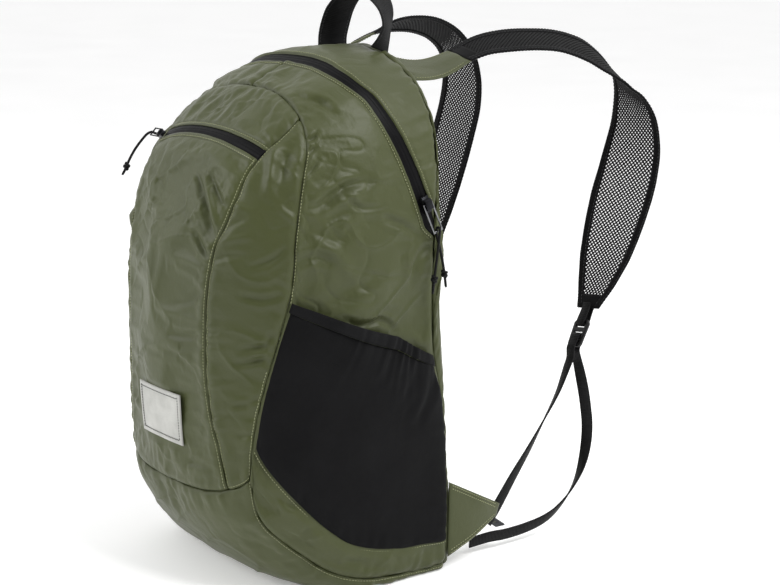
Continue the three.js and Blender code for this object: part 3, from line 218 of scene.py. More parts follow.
TAIL_RIGHT = [
    [0.739, 0.650, 0.376, 1.00, 0.00, 0.00, 5], [0.746, 0.676, 0.321, 0.86, 0.48, 0.00, 5],
    [0.761, 0.693, 0.268, 0.64, 0.76, 0.00, 5], [0.775, 0.702, 0.202, 0.74, 0.64, 0.10, 5],
    [0.790, 0.675, 0.138, 0.92, 0.20, 0.25, 5], [0.800, 0.622, 0.088, 0.81, -0.42, 0.41, 5],
    [0.808, 0.545, 0.052, 0.58, -0.48, 0.66, 5], [0.812, 0.470, 0.034, 0.32, -0.30, 0.90, 5],
    [0.815, 0.376, 0.026, 0.14, -0.10, 1.00, 5], [0.818, 0.280, 0.024, 0.10, 0.00, 1.00, 5],
    [0.818, 0.203, 0.026, 0.10, 0.00, 1.00, 5], [0.812, 0.114, 0.023, 0.15, 0.00, 1.00, 5],
]
LOAD_LEFT = [
    [-0.640, 0.394, 0.372, 1.00, 0.00, 0.00, 5], [-0.672, 0.362, 0.328, 0.98, 0.14, -0.12, 5],
    [-0.705, 0.332, 0.280, 0.88, 0.36, -0.30, 5], [-0.745, 0.302, 0.230, 0.72, 0.50, -0.46, 5],
    [-0.785, 0.274, 0.182, 0.46, 0.62, -0.58, 5], [-0.826, 0.250, 0.140, 0.20, 0.70, -0.65, 5],
    [-0.858, 0.218, 0.098, 0.00, 0.74, -0.67, 5], [-0.863, 0.172, 0.062, 0.00, 0.74, -0.67, 5],
]
TAIL_LEFT = [
    [-0.640, 0.420, 0.366, 1.00, 0.00, 0.00, 5], [-0.655, 0.455, 0.318, 1.00, 0.10, 0.00, 5],
    [-0.672, 0.480, 0.262, 0.96, 0.24, 0.00, 5], [-0.690, 0.485, 0.208, 0.92, 0.36, 0.00, 5],
    [-0.712, 0.470, 0.150, 0.92, 0.30, -0.10, 5], [-0.735, 0.440, 0.100, 0.88, 0.15, -0.35, 5],
    [-0.756, 0.400, 0.060, 0.70, 0.10, -0.60, 5], [-0.774, 0.345, 0.036, 0.42, 0.05, -0.85, 5],
    [-0.790, 0.270, 0.026, 0.20, 0.00, -1.00, 5], [-0.800, 0.190, 0.024, 0.12, 0.00, -1.00, 5],
    [-0.800, 0.114, 0.024, 0.12, 0.00, -1.00, 5],
]
# haul loop: half width, reach back, share of its rise, width direction
HANDLE = [
    [-0.255, 0.800, 0.000, 0.45, 0.89, 0.00], [-0.285, 0.850, 0.200, 0.45, 0.89, 0.00],
    [-0.290, 0.900, 0.420, 0.42, 0.90, 0.00], [-0.262, 0.930, 0.660, 0.34, 0.94, 0.00],
    [-0.190, 0.940, 0.870, 0.20, 0.98, 0.00], [-0.095, 0.940, 1.000, 0.08, 1.00, 0.00],
    [0.095, 0.930, 1.000, -0.05, 1.00, 0.00], [0.180, 0.920, 0.880, -0.25, 0.96, 0.00],
    [0.245, 0.910, 0.670, -0.50, 0.86, 0.00], [0.272, 0.890, 0.420, -0.62, 0.78, 0.00],
    [0.268, 0.850, 0.200, -0.50, 0.86, 0.00], [0.255, 0.800, 0.000, -0.25, 0.97, 0.00],
]
# folds that the photograph shows: depth in mm (minus is a valley), half width in mm, pixel points
FOLDS = {
    "front_top_panel": [
        (0.9, 2.2, [(244, 86), (222, 97), (196, 116)]),
        (-0.9, 2.0, [(246, 88), (230, 101), (214, 119)]),
        (0.7, 2.4, [(236, 83), (206, 97), (182, 118)]),
    ],
    "front_gusset_right": [
        (-1.2, 3.0, [(297, 117), (281, 123), (262, 127)]),
        (-1.0, 2.6, [(296, 110), (280, 108), (262, 106)]),
        (1.1, 3.0, [(298, 122), (282, 133), (262, 139)]),
        (-2.2, 6.0, [(291, 152), (283, 166), (285, 182)]),
        (1.6, 4.5, [(276, 150), (272, 172), (268, 196)]),
        (-1.3, 3.2, [(212, 237), (226, 228), (244, 218)]),
        (1.2, 3.4, [(214, 247), (230, 240), (250, 236)]),
        (-1.1, 3.0, [(210, 262), (226, 256), (244, 255)]),
        (-1.3, 2.8, [(272, 335), (264, 346), (240, 350)]),
        (-1.2, 2.6, [(266, 357), (254, 362), (236, 364)]),
        (-1.0, 2.6, [(262, 399), (250, 404), (232, 406)]),
        (-1.0, 2.8, [(284, 250), (268, 262), (250, 268)]),
        (-1.2, 3.0, [(280, 296), (262, 300), (240, 296)]),
    ],
    "front_pocket_panel": [
        (-2.0, 2.6, [(199, 176), (204, 200), (209, 220), (216, 240)]),
        (1.2, 2.4, [(205, 178), (211, 202), (216, 226)]),
        (-1.6, 2.4, [(196, 232), (202, 246), (209, 258)]),
        (-1.2, 2.0, [(211, 175), (218, 194), (224, 206)]),
        (1.0, 3.0, [(190, 190), (195, 212), (201, 232)]),
        (-0.9, 3.0, [(203, 290), (190, 300), (172, 304)]),
        (-0.8, 3.0, [(204, 330), (190, 336), (170, 334)]),
        (-1.0, 3.2, [(212, 470), (196, 462), (176, 462)]),
    ],
    "side_panel_right": [
        (-2.2, 4.0, [(326, 200), (338, 193), (350, 185), (367, 181)]),
        (1.4, 5.0, [(330, 208), (346, 200), (366, 192)]),
        (-1.3, 3.6, [(309, 208), (324, 205), (334, 200)]),
        (-1.8, 3.4, [(388, 219), (402, 224), (417, 234)]),
        (-1.2, 2.0, [(307, 141), (313, 138), (318, 132)]),
        (-1.3, 2.2, [(306, 158), (312, 150), (320, 146)]),
        (-1.2, 2.2, [(306, 176), (311, 170), (318, 160)]),
        (-1.0, 2.6, [(345, 197), (362, 208), (384, 206)]),
        (-1.6, 3.0, [(344, 320), (360, 326), (382, 321), (394, 330)]),
        (-1.2, 3.2, [(300, 98), (322, 104), (340, 118)]),
        (1.2, 5.0, [(312, 236), (334, 252), (352, 276)]),
        (-1.4, 4.4, [(296, 262), (316, 258), (340, 262)]),
        (-1.4, 3.0, [(428, 246), (418, 262), (412, 284)]),
    ],
    "side_pocket_right": [
        (-1.4, 3.0, [(420, 356), (414, 383), (404, 402)]),
        (1.2, 3.0, [(428, 370), (421, 398), (412, 418)]),
        (-1.2, 3.0, [(434, 384), (428, 404), (418, 424)]),
        (-1.0, 3.4, [(396, 350), (388, 372), (376, 388)]),
    ],
}


def unit(v):
    """Vectors of length one."""
    return v / np.maximum(np.linalg.norm(v, axis=-1, keepdims=True), 1e-12)


def camera_ways(angle, height):
    """Right, forward and up directions of a camera at this azimuth and elevation."""
    a, e = math.radians(angle), math.radians(height)
    right = np.array([math.cos(a), math.sin(a), 0.0])
    ahead = np.array([-math.sin(a) * math.cos(e), math.cos(a) * math.cos(e), -math.sin(e)])
    up = np.cross(right, ahead)
    return right, ahead, up


VIEW_RIGHT, VIEW_AHEAD, VIEW_UP = camera_ways(AZIMUTH, ELEVATION)
EYE = np.array(TARGET) - VIEW_AHEAD * DISTANCE


def make_camera():
    """Camera at the photograph's viewpoint."""
    data = bpy.data.cameras.new("camera")
    data.sensor_width = SENSOR
    data.lens = FOCAL_PIXELS * SENSOR / PHOTO_WIDTH
    data.clip_start = 0.05
    data.clip_end = 120.0
    camera = bpy.data.objects.new("camera", data)
    SCENE.collection.objects.link(camera)
    camera.location = EYE
    camera.rotation_mode = "QUATERNION"
    camera.rotation_quaternion = Vector(VIEW_AHEAD).to_track_quat("-Z", "Y")
    SCENE.camera = camera


def pixels(points):
    """Where points land in the photograph."""
    d = points - EYE
    depth = d @ VIEW_AHEAD
    x = PHOTO_WIDTH / 2 + FOCAL_PIXELS * (d @ VIEW_RIGHT) / depth
    y = PHOTO_HEIGHT / 2 - FOCAL_PIXELS * (d @ VIEW_UP) / depth
    return x, y


# body formula

def smooth_rows(rows, t, rising=False):
    """Smooth curve through table rows at places t."""
    rows = np.asarray(rows, float)
    count = len(rows)
    step = np.diff(rows, axis=0)
    lean = np.vstack([step[:1], (step[:-1] + step[1:]) / 2, step[-1:]])
    if rising:
        bound = 3 * np.minimum(np.abs(step[:-1, 0]), np.abs(step[1:, 0]))
        lean[1:-1, 0] = np.minimum(lean[1:-1, 0], bound)
    t = np.asarray(t, float)
    i = np.clip(np.floor(t).astype(int), 0, count - 2)
    f = (t - i)[..., None]
    return ((2 * f**3 - 3 * f**2 + 1) * rows[i] + (f**3 - 2 * f**2 + f) * lean[i]
            + (-2 * f**3 + 3 * f**2) * rows[i + 1] + (f**3 - f**2) * lean[i + 1])


FINE = smooth_rows(LEVELS, np.linspace(0, len(LEVELS) - 1, 3001), True)
FINE[:, 0] = np.maximum.accumulate(FINE[:, 0])


def inside(p):
    """True for points within the body."""
    share = np.clip(p[..., 2] / HEIGHT, 0, 1)
    half, ahead, back, n_front, n_back = (np.interp(share, FINE[:, 0], FINE[:, c]) for c in range(1, 6))
    front = p[..., 1] < 0
    wide = np.abs(p[..., 0]) / np.maximum(1e-9, half * HALF)
    reach = np.where(front, ahead * FRONT_REACH, back * BACK_REACH)
    along = np.abs(p[..., 1]) / np.maximum(1e-9, reach)
    n = np.where(front, n_front, n_back)
    round_in = np.minimum(wide, 50) ** n + np.minimum(along, 50) ** n <= 1
    return round_in & (p[..., 2] >= 0) & (p[..., 2] <= HEIGHT) & (p[..., 1] <= BACK_FLAT * BACK_REACH)


def core_point(p):
    """Nearest point of the upright core."""
    z = np.clip(p[..., 2], CORE_LOW * HEIGHT, CORE_HIGH * HEIGHT)
    return np.stack([np.zeros_like(z), np.full_like(z, CORE_Y * FRONT_REACH), z], -1)


def push(p):
    """Points carried straight out from the core onto the body."""
    p = np.asarray(p, float)
    core = core_point(p)
    d = unit(p - core)
    low = np.zeros(p.shape[:-1])
    high = np.full(p.shape[:-1], PUSH_REACH)
    for _ in range(PUSH_HALVINGS):
        middle = (low + high) / 2
        ok = inside(core + d * middle[..., None])
        low = np.where(ok, middle, low)
        high = np.where(ok, high, middle)
    q = core + d * low[..., None]
    q[..., 2] = np.maximum(q[..., 2], 0)
    return q


def normal_at(p):
    """Outward direction of the body at points on it."""
    p = np.asarray(p, float)
    d = unit(p - core_point(p))
    a = np.cross(np.array([0.0, 0.0, 1.0]), d)
    flat = np.linalg.norm(a, axis=-1, keepdims=True) < 1e-3
    a = unit(np.where(flat, np.array([1.0, 0.0, 0.0]), a))
    b = unit(np.cross(d, a))
    a, b = a * NORMAL_STEP, b * NORMAL_STEP
    n = unit(np.cross(push(p + a) - push(p - a), push(p + b) - push(p - b)))
    return np.where((n * d).sum(-1, keepdims=True) < 0, -n, n)


def at(rows):
    """Body places of seam table rows."""
    rows = np.asarray(rows, float)
    reach = np.where(rows[..., 1] < 0, FRONT_REACH, BACK_REACH)
    return np.stack([rows[..., 0] * HALF, rows[..., 1] * reach, rows[..., 2] * HEIGHT], -1)


def behind(rows):
    """Strap places of table rows."""
    rows = np.asarray(rows, float)
    return np.stack([rows[..., 0] * HALF, BACK_REACH + rows[..., 1] * STRAP_REACH, rows[..., 2] * HEIGHT], -1)


def run_of(line):
    """Distance covered along a line at each of its points."""
    return np.concatenate([[0.0], np.cumsum(np.linalg.norm(np.diff(line, axis=0), axis=1))])


def resample_like(values, run, places):
    """Values known along a run, read at other places."""
    return np.stack([np.interp(places, run, values[:, c]) for c in range(values.shape[1])], -1)


def resample(line, places):
    """Points of a line at these distances along it."""
    return resample_like(line, run_of(line), places)


def evenly(line, parts):
    """A line cut into even lengths."""
    return resample(line, np.linspace(0, run_of(line)[-1], parts + 1))


def seam(table, parts=120):
    """Seam drawn through its table on the body."""
    n = 24 * (len(table) - 1)
    return evenly(push(at(smooth_rows(table, np.linspace(0, len(table) - 1, n + 1)))), parts)


def join(*lines):
    """Lines one after the other, shared ends once."""
    return np.vstack([lines[0]] + [line[1:] for line in lines[1:]])


def mirrored(p):
    """The same on the left side."""
    return p * np.array([-1.0, 1.0, 1.0])


def whole(line):
    """Middle to right end becomes right end to left end."""
    return join(line[::-1], mirrored(line))


# cord routes first: both pulls hang from their bails

ZIP_SAMPLES = 60
SLIDER_STEP = 54
MAIN_BAR = (4.9, 23.35)
FRONT_BAR = (4.3, 12.0)

def pull_frame_main():
    """Bar of the main bail, the width direction and the outward direction."""
    line = seam(ZIP_LINE, ZIP_SAMPLES)
    p = line[SLIDER_STEP]
    n = normal_at(p)
    t = unit(line[SLIDER_STEP + 2] - line[SLIDER_STEP - 2])
    across = unit(np.cross(n, t))
    down = unit(t + 0.10 * n)
    bar = p + n * MAIN_BAR[0] * MM + down * MAIN_BAR[1] * MM
    outward = unit(np.cross(across, down))
    if outward @ n < 0:
        outward = -outward
    return bar, across, outward


def pull_frame_front():
    """Bar of the front bail, its own direction and the outward direction."""
    top = mirrored(push(at(PRINCESS_ZIP[0])))
    low = mirrored(push(at(PRINCESS_ZIP[1])))
    p = push((top + low) / 2 + np.array([6 * MM, 0, 0]))
    n = normal_at(p)
    t = unit(np.array([-1.0, 0, 0]) + n * n[0])
    across = unit(np.cross(n, t))
    out = unit(0.92 * t + 0.38 * n)
    bar = p + n * FRONT_BAR[0] * MM + out * FRONT_BAR[1] * MM
    return bar, out, unit(np.cross(across, out))


# route of each cord strand in mm from its bar: sideways, down, outward
MAIN_STRAND_NEAR = [
    (0, -3.1, 0), (0, -1.9, 2.1), (-0.8, 3, 2.8), (-2.2, 12, 2.8), (-4.0, 24, 2.4), (-5.4, 34, 2),
    (-6.0, 38, 1.8), (-6.5, 42, 1.5), (-7, 49, 1.0),
]
MAIN_STRAND_FAR = [
    (0, -3.1, 0), (0, -1.9, -2.1), (0.8, 3.5, -2.8), (2.4, 13, -1.0), (4.6, 26, 0.6), (6.0, 35, 1.2),
    (6.8, 39, 1.2), (7.4, 43, 1.2), (8.6, 50, 1.0),
]
# the front cord starts along its bail, then falls: x, y, z in mm from the bar
FRONT_LEAD = [(-3.0, 2.9), (-1.2, 2.3), (1.0, 2.0), (3.0, 0.8)]
FRONT_FALL = [
    (-4.0, -3.4, -2.0), (-4.8, -8.5, -7.0), (-5.2, -15.0, -14.5), (-5.4, -20.0, -22.0),
    (-5.6, -22.6, -27.0), (-5.8, -24.2, -30.5), (-6.2, -27.5, -36.0),
]
CORD_RADIUS = 1.1 * MM


def smooth_line(points, parts):
    """Smooth curve through points, cut evenly."""
    points = np.asarray(points, float)
    return evenly(smooth_rows(points, np.linspace(0, len(points) - 1, 24 * len(points))), parts)


def link_object(name, mesh, material=None):
    """New object at the origin."""
    obj = bpy.data.objects.new(name, mesh)
    SCENE.collection.objects.link(obj)
    if material is not None:
        mesh.materials.append(material)
    return obj


def make_mesh(name, points, faces, uvs=None, smooth=True):
    """Mesh from points, faces and one uv for each point."""
    mesh = bpy.data.meshes.new(name)
    mesh.from_pydata([tuple(p) for p in points], [], [tuple(int(i) for i in f) for f in faces])
    if uvs is not None:
        layer = mesh.uv_layers.new(name="flat")
        index = np.zeros(len(mesh.loops), np.int32)
        mesh.loops.foreach_get("vertex_index", index)
        layer.data.foreach_set("uv", np.asarray(uvs, np.float32)[index].ravel())
    mesh.polygons.foreach_set("use_smooth", [smooth] * len(mesh.polygons))
    mesh.update()
    return mesh


def dress(obj, slot_name, *nodes):
    """Every piece rides on the one body and stands for its nodes; its slot name is not used."""
    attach(obj, "root")
    if nodes:
        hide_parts(*nodes)
    return obj


def ring_faces(count, sides):
    """Faces of a closed tube with caps, count rings of so many points each."""
    faces = []
    for i in range(count - 1):
        for k in range(sides):
            n = (k + 1) % sides
            faces.append((i * sides + k, i * sides + n, (i + 1) * sides + n, (i + 1) * sides + k))
    faces.append(tuple(range(sides))[::-1])
    faces.append(tuple((count - 1) * sides + k for k in range(sides)))
    return faces


def tube_parts(line, radii, sides=10):
    """Points, faces and uvs of a closed round tube along a line."""
    count = len(line)
    tangent = unit(np.gradient(line, axis=0))
    ref = np.array([0.0, 1.0, 0.0])
    points, uvs = [], []
    run = run_of(line)
    for i in range(count):
        if abs(ref @ tangent[i]) > 0.95:
            ref = np.array([1.0, 0.0, 0.0])
        a = unit(ref - tangent[i] * (ref @ tangent[i]))
        b = np.cross(tangent[i], a)
        ref = a
        for k in range(sides):
            w = 2 * math.pi * k / sides
            points.append(line[i] + radii[i] * (a * math.cos(w) + b * math.sin(w)))
            uvs.append((k * 2 * math.pi * CORD_RADIUS / sides, run[i]))
    return np.array(points), ring_faces(count, sides), np.array(uvs)


def knot_parts(centre, axis, radius):
    """A small overhand knot: two tight turns of the cord round its own line."""
    axis = unit(axis)
    a = unit(np.cross(axis, np.array([0.3, 0.9, 0.2])))
    b = np.cross(axis, a)
    steps = np.linspace(0, 1, 44)
    turn = 2 * math.pi * 2.1 * steps
    swing = np.sin(math.pi * steps) ** 0.35
    line = (centre + np.outer((steps - 0.5) * 5.4 * MM, axis)
            + (np.cos(turn) * swing * 1.7 * radius)[:, None] * a
            + (np.sin(turn) * swing * 1.7 * radius)[:, None] * b)
    line += np.outer(0.8 * MM * np.sin(2 * turn), axis)
    return tube_parts(line, np.full(len(line), 1.15 * radius), 8)


def merged(*groups):
    """Several groups of points, faces and uvs as one."""
    points, faces, uvs, base = [], [], [], 0
    for p, f, u in groups:
        points.append(p)
        uvs.append(u)
        faces.extend(tuple(i + base for i in face) for face in f)
        base += len(p)
    return np.vstack(points), faces, np.vstack(uvs)


def pull_cord(name, node, points, knot_share, material):
    """One cord strand with its knot."""
    line = smooth_line(points, 32)
    run = run_of(line)
    radii = np.full(len(line), CORD_RADIUS)
    radii[-1] = 0.75 * CORD_RADIUS
    obj = link_object(name, make_mesh(name, *tube_parts(line, radii)), material)
    dress(obj, "pull_cord", node)
    k = int(np.searchsorted(run, knot_share * run[-1]))
    knot = link_object(name + "_knot", make_mesh(name + "_knot", *knot_parts(
        line[k], line[k + 1] - line[k - 1], CORD_RADIUS)), material)
    dress(knot, "pull_cord")


# materials

def linear(colour):
    """Linear light value of an sRGB colour given in 0 to 255."""
    c = np.array(colour, float) / 255
    return tuple(np.where(c <= 0.04045, c / 12.92, ((c + 0.055) / 1.055) ** 2.4)) + (1.0,)


class Finish:
    """One material, its shader and short ways to add nodes."""

    def __init__(self, name, roughness, metallic=0.0, specular=0.5, sheen=0.0, sheen_rough=0.5):
        self.material = bpy.data.materials.new(name)
        self.material.use_nodes = True
        self.tree = self.material.node_tree
        self.shader = self.tree.nodes["Principled BSDF"]
        self.shader.inputs["Roughness"].default_value = roughness
        self.shader.inputs["Metallic"].default_value = metallic
        self.shader.inputs["Specular IOR Level"].default_value = specular
        self.shader.inputs["Sheen Weight"].default_value = sheen
        self.shader.inputs["Sheen Roughness"].default_value = sheen_rough

    def node(self, kind, **values):
        made = self.tree.nodes.new(kind)
        for key, value in values.items():
            setattr(made, key, value)
        return made

    def link(self, output, target):
        self.tree.links.new(output, target)

    def math(self, operation, a, b=None):
        made = self.node("ShaderNodeMath", operation=operation)
        for socket, value in zip(made.inputs, (a, b)):
            if value is None:
                continue
            if isinstance(value, (int, float)):
                socket.default_value = value
            else:
                self.link(value, socket)
        return made.outputs[0]

    def flat(self):
        """The cloth's own flat coordinates, in metres."""
        uv = self.node("ShaderNodeUVMap", uv_map="flat")
        parts = self.node("ShaderNodeSeparateXYZ")
        self.link(uv.outputs[0], parts.inputs[0])
        return parts.outputs[0], parts.outputs[1]

    def wave(self, coordinate, pitch, phase=0.0):
        """A sine of one coordinate, from -1 to 1, repeating each pitch metres."""
        turned = self.math("MULTIPLY_ADD", coordinate, 2 * math.pi / pitch)
        turned.node.inputs[2].default_value = phase
        return self.math("SINE", turned)

    def noise(self, scale, detail=3.0, roughness=0.55):
        place = self.node("ShaderNodeTexCoord")
        made = self.node("ShaderNodeTexNoise")
        self.link(place.outputs["Object"], made.inputs["Vector"])
        made.inputs["Scale"].default_value = scale
        made.inputs["Detail"].default_value = detail
        made.inputs["Roughness"].default_value = roughness
        return made.outputs["Fac"]

    def blend(self, share, low, high, start=0.3, end=0.7):
        ramp = self.node("ShaderNodeValToRGB")
        ramp.color_ramp.elements[0].position = start
        ramp.color_ramp.elements[1].position = end
        ramp.color_ramp.elements[0].color = linear(low)
        ramp.color_ramp.elements[1].color = linear(high)
        self.link(share, ramp.inputs[0])
        return ramp.outputs[0]

    def colour(self, output):
        self.link(output, self.shader.inputs["Base Color"])

    def bumps(self, *layers):
        """Height layers, each with its depth in metres, laid over each other."""
        last = None
        for height, depth in layers:
            bump = self.node("ShaderNodeBump")
            bump.inputs["Strength"].default_value = 1.0
            bump.inputs["Distance"].default_value = depth
            self.link(height, bump.inputs["Height"])
            if last is not None:
                self.link(last, bump.inputs["Normal"])
            last = bump.outputs[0]
        self.link(last, self.shader.inputs["Normal"])


def olive_cloth():
    """Thin coated nylon: fine diagonal weave, faint colour drift, soft sheen."""
    f = Finish("olive_nylon", 0.46, specular=0.30, sheen=0.05, sheen_rough=0.45)
    u, v = f.flat()
    diagonal = f.wave(f.math("ADD", u, v), 0.0011)
    fine = f.math("MULTIPLY", f.wave(u, 0.0006), f.wave(v, 0.0006))
    drift = f.noise(7.0, 4.0, 0.6)
    f.colour(f.blend(drift, (60, 65, 35), (69, 74, 42), 0.25, 0.75))
    crumple = f.noise(60.0, 4.0, 0.6)
    f.bumps((diagonal, 0.000010), (fine, 0.000008), (crumple, 0.0007))
    return f.material


def stretch_cloth():
    """Black stretch weave of the side pockets."""
    f = Finish("black_stretch_knit", 0.80, specular=0.10, sheen=0.01, sheen_rough=0.6)
    u, v = f.flat()
    weave = f.math("MULTIPLY", f.wave(u, 0.0008), f.wave(v, 0.0010))
    f.colour(f.blend(f.noise(30.0, 3.0), (12, 12, 13), (17, 17, 18)))
    f.bumps((weave, 0.00002), (f.noise(90.0, 3.0), 0.0004))
    return f.material


def elastic_cloth():
    """Gathered hem of a side pocket."""
    f = Finish("black_gathered_hem", 0.80, specular=0.10, sheen=0.01, sheen_rough=0.6)
    u, v = f.flat()
    f.colour(f.blend(f.noise(40.0, 3.0), (13, 13, 14), (21, 21, 22)))
    f.bumps((f.wave(u, 0.0009), 0.00004), (f.wave(v, 0.0009), 0.00003), (f.noise(120.0, 3.0), 0.0004))
    return f.material


def zip_tape():
    """Coated zip: smooth dark band with a fine closed slit."""
    f = Finish("coated_zip", 0.42, specular=0.05)
    u, v = f.flat()
    f.colour(f.blend(f.noise(35.0, 4.0), (14, 14, 15), (20, 20, 21)))
    f.bumps((f.wave(v, 0.0012), 0.00001), (f.noise(150.0, 3.0), 0.0003))
    return f.material


def webbing(name, low, high, pitch):
    """Woven webbing: ribs across, thin threads along."""
    f = Finish(name, 0.60, specular=0.16, sheen=0.01, sheen_rough=0.5)
    u, v = f.flat()
    ribs = f.wave(v, pitch)
    threads = f.wave(u, 0.0011)
    f.colour(f.blend(f.noise(200.0, 3.0), low, high))
    f.bumps((ribs, 0.00009), (f.math("MULTIPLY", ribs, threads), 0.00006))
    return f.material


def binding_tape():
    """Bias tape on the strap edges."""
    f = Finish("strap_edge_tape", 0.75, specular=0.10, sheen=0.01, sheen_rough=0.5)
    u, v = f.flat()
    f.colour(f.blend(f.noise(120.0, 3.0), (12, 12, 13), (19, 19, 20)))
    f.bumps((f.wave(f.math("ADD", u, v), 0.0013), 0.00004), (f.wave(v, 0.0009), 0.00004))
    return f.material


def strap_net():
    """Threads of the open strap mesh."""
    f = Finish("strap_net", 0.70, specular=0.14)
    f.colour(f.blend(f.noise(300.0, 2.0), (15, 15, 16), (24, 24, 25)))
    f.bumps((f.noise(1500.0, 2.0), 0.0001))
    return f.material


def label_cloth():
    """Bare woven label."""
    f = Finish("woven_label", 0.70, specular=0.3, sheen=0.15)
    u, v = f.flat()
    weave = f.math("MULTIPLY", f.wave(u, 0.0007), f.wave(v, 0.0005))
    f.colour(f.blend(f.noise(60.0, 4.0), (166, 166, 161), (188, 188, 183)))
    f.bumps((weave, 0.00004), (f.noise(120.0, 3.0), 0.0003))
    return f.material


def moulded(name, low, high, roughness, metallic=0.0, grain=0.00006):
    """Moulded plastic or coated metal."""
    f = Finish(name, roughness, metallic, specular=0.30)
    f.colour(f.blend(f.noise(180.0, 3.0), low, high))
    f.bumps((f.noise(900.0, 3.0), grain))
    return f.material


def thread(name, low, high):
    """Sewing thread."""
    f = Finish(name, 0.6, specular=0.4, sheen=0.2)
    f.colour(f.blend(f.noise(700.0, 2.0), low, high))
    f.bumps((f.noise(2500.0, 1.0), 0.00005))
    return f.material


OLIVE = olive_cloth()
STRETCH = stretch_cloth()
ELASTIC = elastic_cloth()
ZIP = zip_tape()
BLACK_WEB = webbing("black_webbing_weave", (11, 11, 12), (19, 19, 20), 0.0016)
GREY_WEB = webbing("webbing_end_weave", (52, 53, 56), (78, 79, 82), 0.0014)
EDGE_TAPE = binding_tape()
NET = strap_net()
LABEL_CLOTH = label_cloth()
PLASTIC = moulded("buckle_moulding", (13, 13, 14), (19, 19, 20), 0.34)
DARK_METAL = moulded("slider_casting", (26, 27, 29), (40, 41, 44), 0.34, 0.85)
BRIGHT_METAL = moulded("bail_wire", (120, 121, 124), (158, 159, 162), 0.28, 1.0, 0.00003)
CORD_CLOTH = webbing("cord_sheath", (10, 10, 11), (17, 17, 18), 0.0012)
OLIVE_THREAD = thread("olive_thread", (128, 132, 92), (150, 153, 114))
DARK_THREAD = thread("dark_thread", (26, 27, 25), (44, 45, 42))
BLACK_THREAD = thread("black_thread", (30, 30, 32), (46, 46, 48))


def make_cords():
    """The pull cords, the only free cords of the part."""
    bar, across, outward = pull_frame_main()
    down = np.array([0.0, 0.0, -1.0])
    for tag, strand in (("near", MAIN_STRAND_NEAR), ("far", MAIN_STRAND_FAR)):
        points = [bar + (across * s + down * d + outward * o) * MM for s, d, o in strand]
        pull_cord(f"main_zip_pull_{tag}", "main_zip_pull_cord", points, 0.76, CORD_CLOTH)
    bar, out, face = pull_frame_front()
    points = [bar + (out * a + face * h) * MM for a, h in FRONT_LEAD]
    points += [bar + np.array(p) * MM for p in FRONT_FALL]
    pull_cord("front_zip_pull", "front_zip_pull_cord", points, 0.82, CORD_CLOTH)


make_camera()
make_cords()


# cloth tools

class Noise:
    """Seeded smooth noise of two coordinates, about -1 to 1."""

    cells = 64

    def __init__(self, seed):
        self.table = np.random.default_rng(seed).uniform(-1, 1, (self.cells, self.cells))

    def at(self, x, y):
        i = np.floor(x).astype(int)
        j = np.floor(y).astype(int)
        f = x - i
        g = y - j
        f = f * f * (3 - 2 * f)
        g = g * g * (3 - 2 * g)
        t = self.table
        i, right = i % self.cells, (i + 1) % self.cells
        j, up = j % self.cells, (j + 1) % self.cells
        a = t[i, j] * (1 - f) + t[right, j] * f
        b = t[i, up] * (1 - f) + t[right, up] * f
        return a * (1 - g) + b * g


def patch(top, foot, left, right):
    """Four-sided cloth patch on the body; top and foot run across, left and right run down."""
    n, m = len(left) - 1, len(top) - 1
    u = np.linspace(0, 1, n + 1)[:, None, None]
    v = np.linspace(0, 1, m + 1)[None, :, None]
    p = ((1 - u) * top[None] + u * foot[None] + (1 - v) * left[:, None] + v * right[:, None]
         - (1 - u) * (1 - v) * top[0] - (1 - u) * v * top[-1]
         - u * (1 - v) * foot[0] - u * v * foot[-1])
    p[1:-1, 1:-1] = push(p[1:-1, 1:-1])
    return p


def grid_normals(grid):
    """Outward directions of a grid of points."""
    du = np.gradient(grid, axis=0)
    dv = np.gradient(grid, axis=1)
    n = np.cross(du, dv)
    size = np.linalg.norm(n, axis=-1)
    for row, near in ((0, 1), (-1, -2)):
        thin = size[row] < 0.05 * np.median(size)
        n[row][thin] = n[near][thin]
    n = unit(n)
    middle = np.array([0.0, CORE_Y * FRONT_REACH, HEIGHT / 2])
    if ((grid - middle) * n).sum(-1).mean() < 0:
        n = -n
    return n


def finer(count, times):
    """Matrix that draws a smooth curve through count + 1 points, times as many steps."""
    t = np.arange(count * times + 1) / times
    i = np.minimum(t.astype(int), count - 1)
    f = t - i
    rows = np.zeros((len(t), count + 3))
    k = np.arange(len(t))
    rows[k, i] = -0.5 * f + f**2 - 0.5 * f**3
    rows[k, i + 1] = 1 - 2.5 * f**2 + 1.5 * f**3
    rows[k, i + 2] = 0.5 * f + 2 * f**2 - 1.5 * f**3
    rows[k, i + 3] = -0.5 * f**2 + 0.5 * f**3
    out = rows[:, 1:-1].copy()
    out[:, 0] += 2 * rows[:, 0]
    out[:, 1] -= rows[:, 0]
    out[:, -1] += 2 * rows[:, -1]
    out[:, -2] -= rows[:, -1]
    return out


def refine(grid, times):
    """Grid with times as many steps each way."""
    a = finer(grid.shape[0] - 1, times)
    b = finer(grid.shape[1] - 1, times)
    return np.einsum("ij,jkc,lk->ilc", a, grid, b)


def grid_runs(grid):
    """Distances across from the left edge and down from the top edge."""
    across = np.zeros(grid.shape[:2])
    across[:, 1:] = np.cumsum(np.linalg.norm(np.diff(grid, axis=1), axis=-1), axis=1)
    down = np.zeros(grid.shape[:2])
    down[1:] = np.cumsum(np.linalg.norm(np.diff(grid, axis=0), axis=-1), axis=0)
    return across, down


def grid_faces(index):
    """Four-sided faces between the neighbouring points of a grid."""
    return np.stack([index[:-1, :-1], index[1:, :-1], index[1:, 1:], index[:-1, 1:]], -1).reshape(-1, 4)


def rim_of(index):
    """The points round a grid's edge, in order."""
    return np.concatenate([index[0, :-1], index[:-1, -1], index[-1, :0:-1], index[:0:-1, 0]])


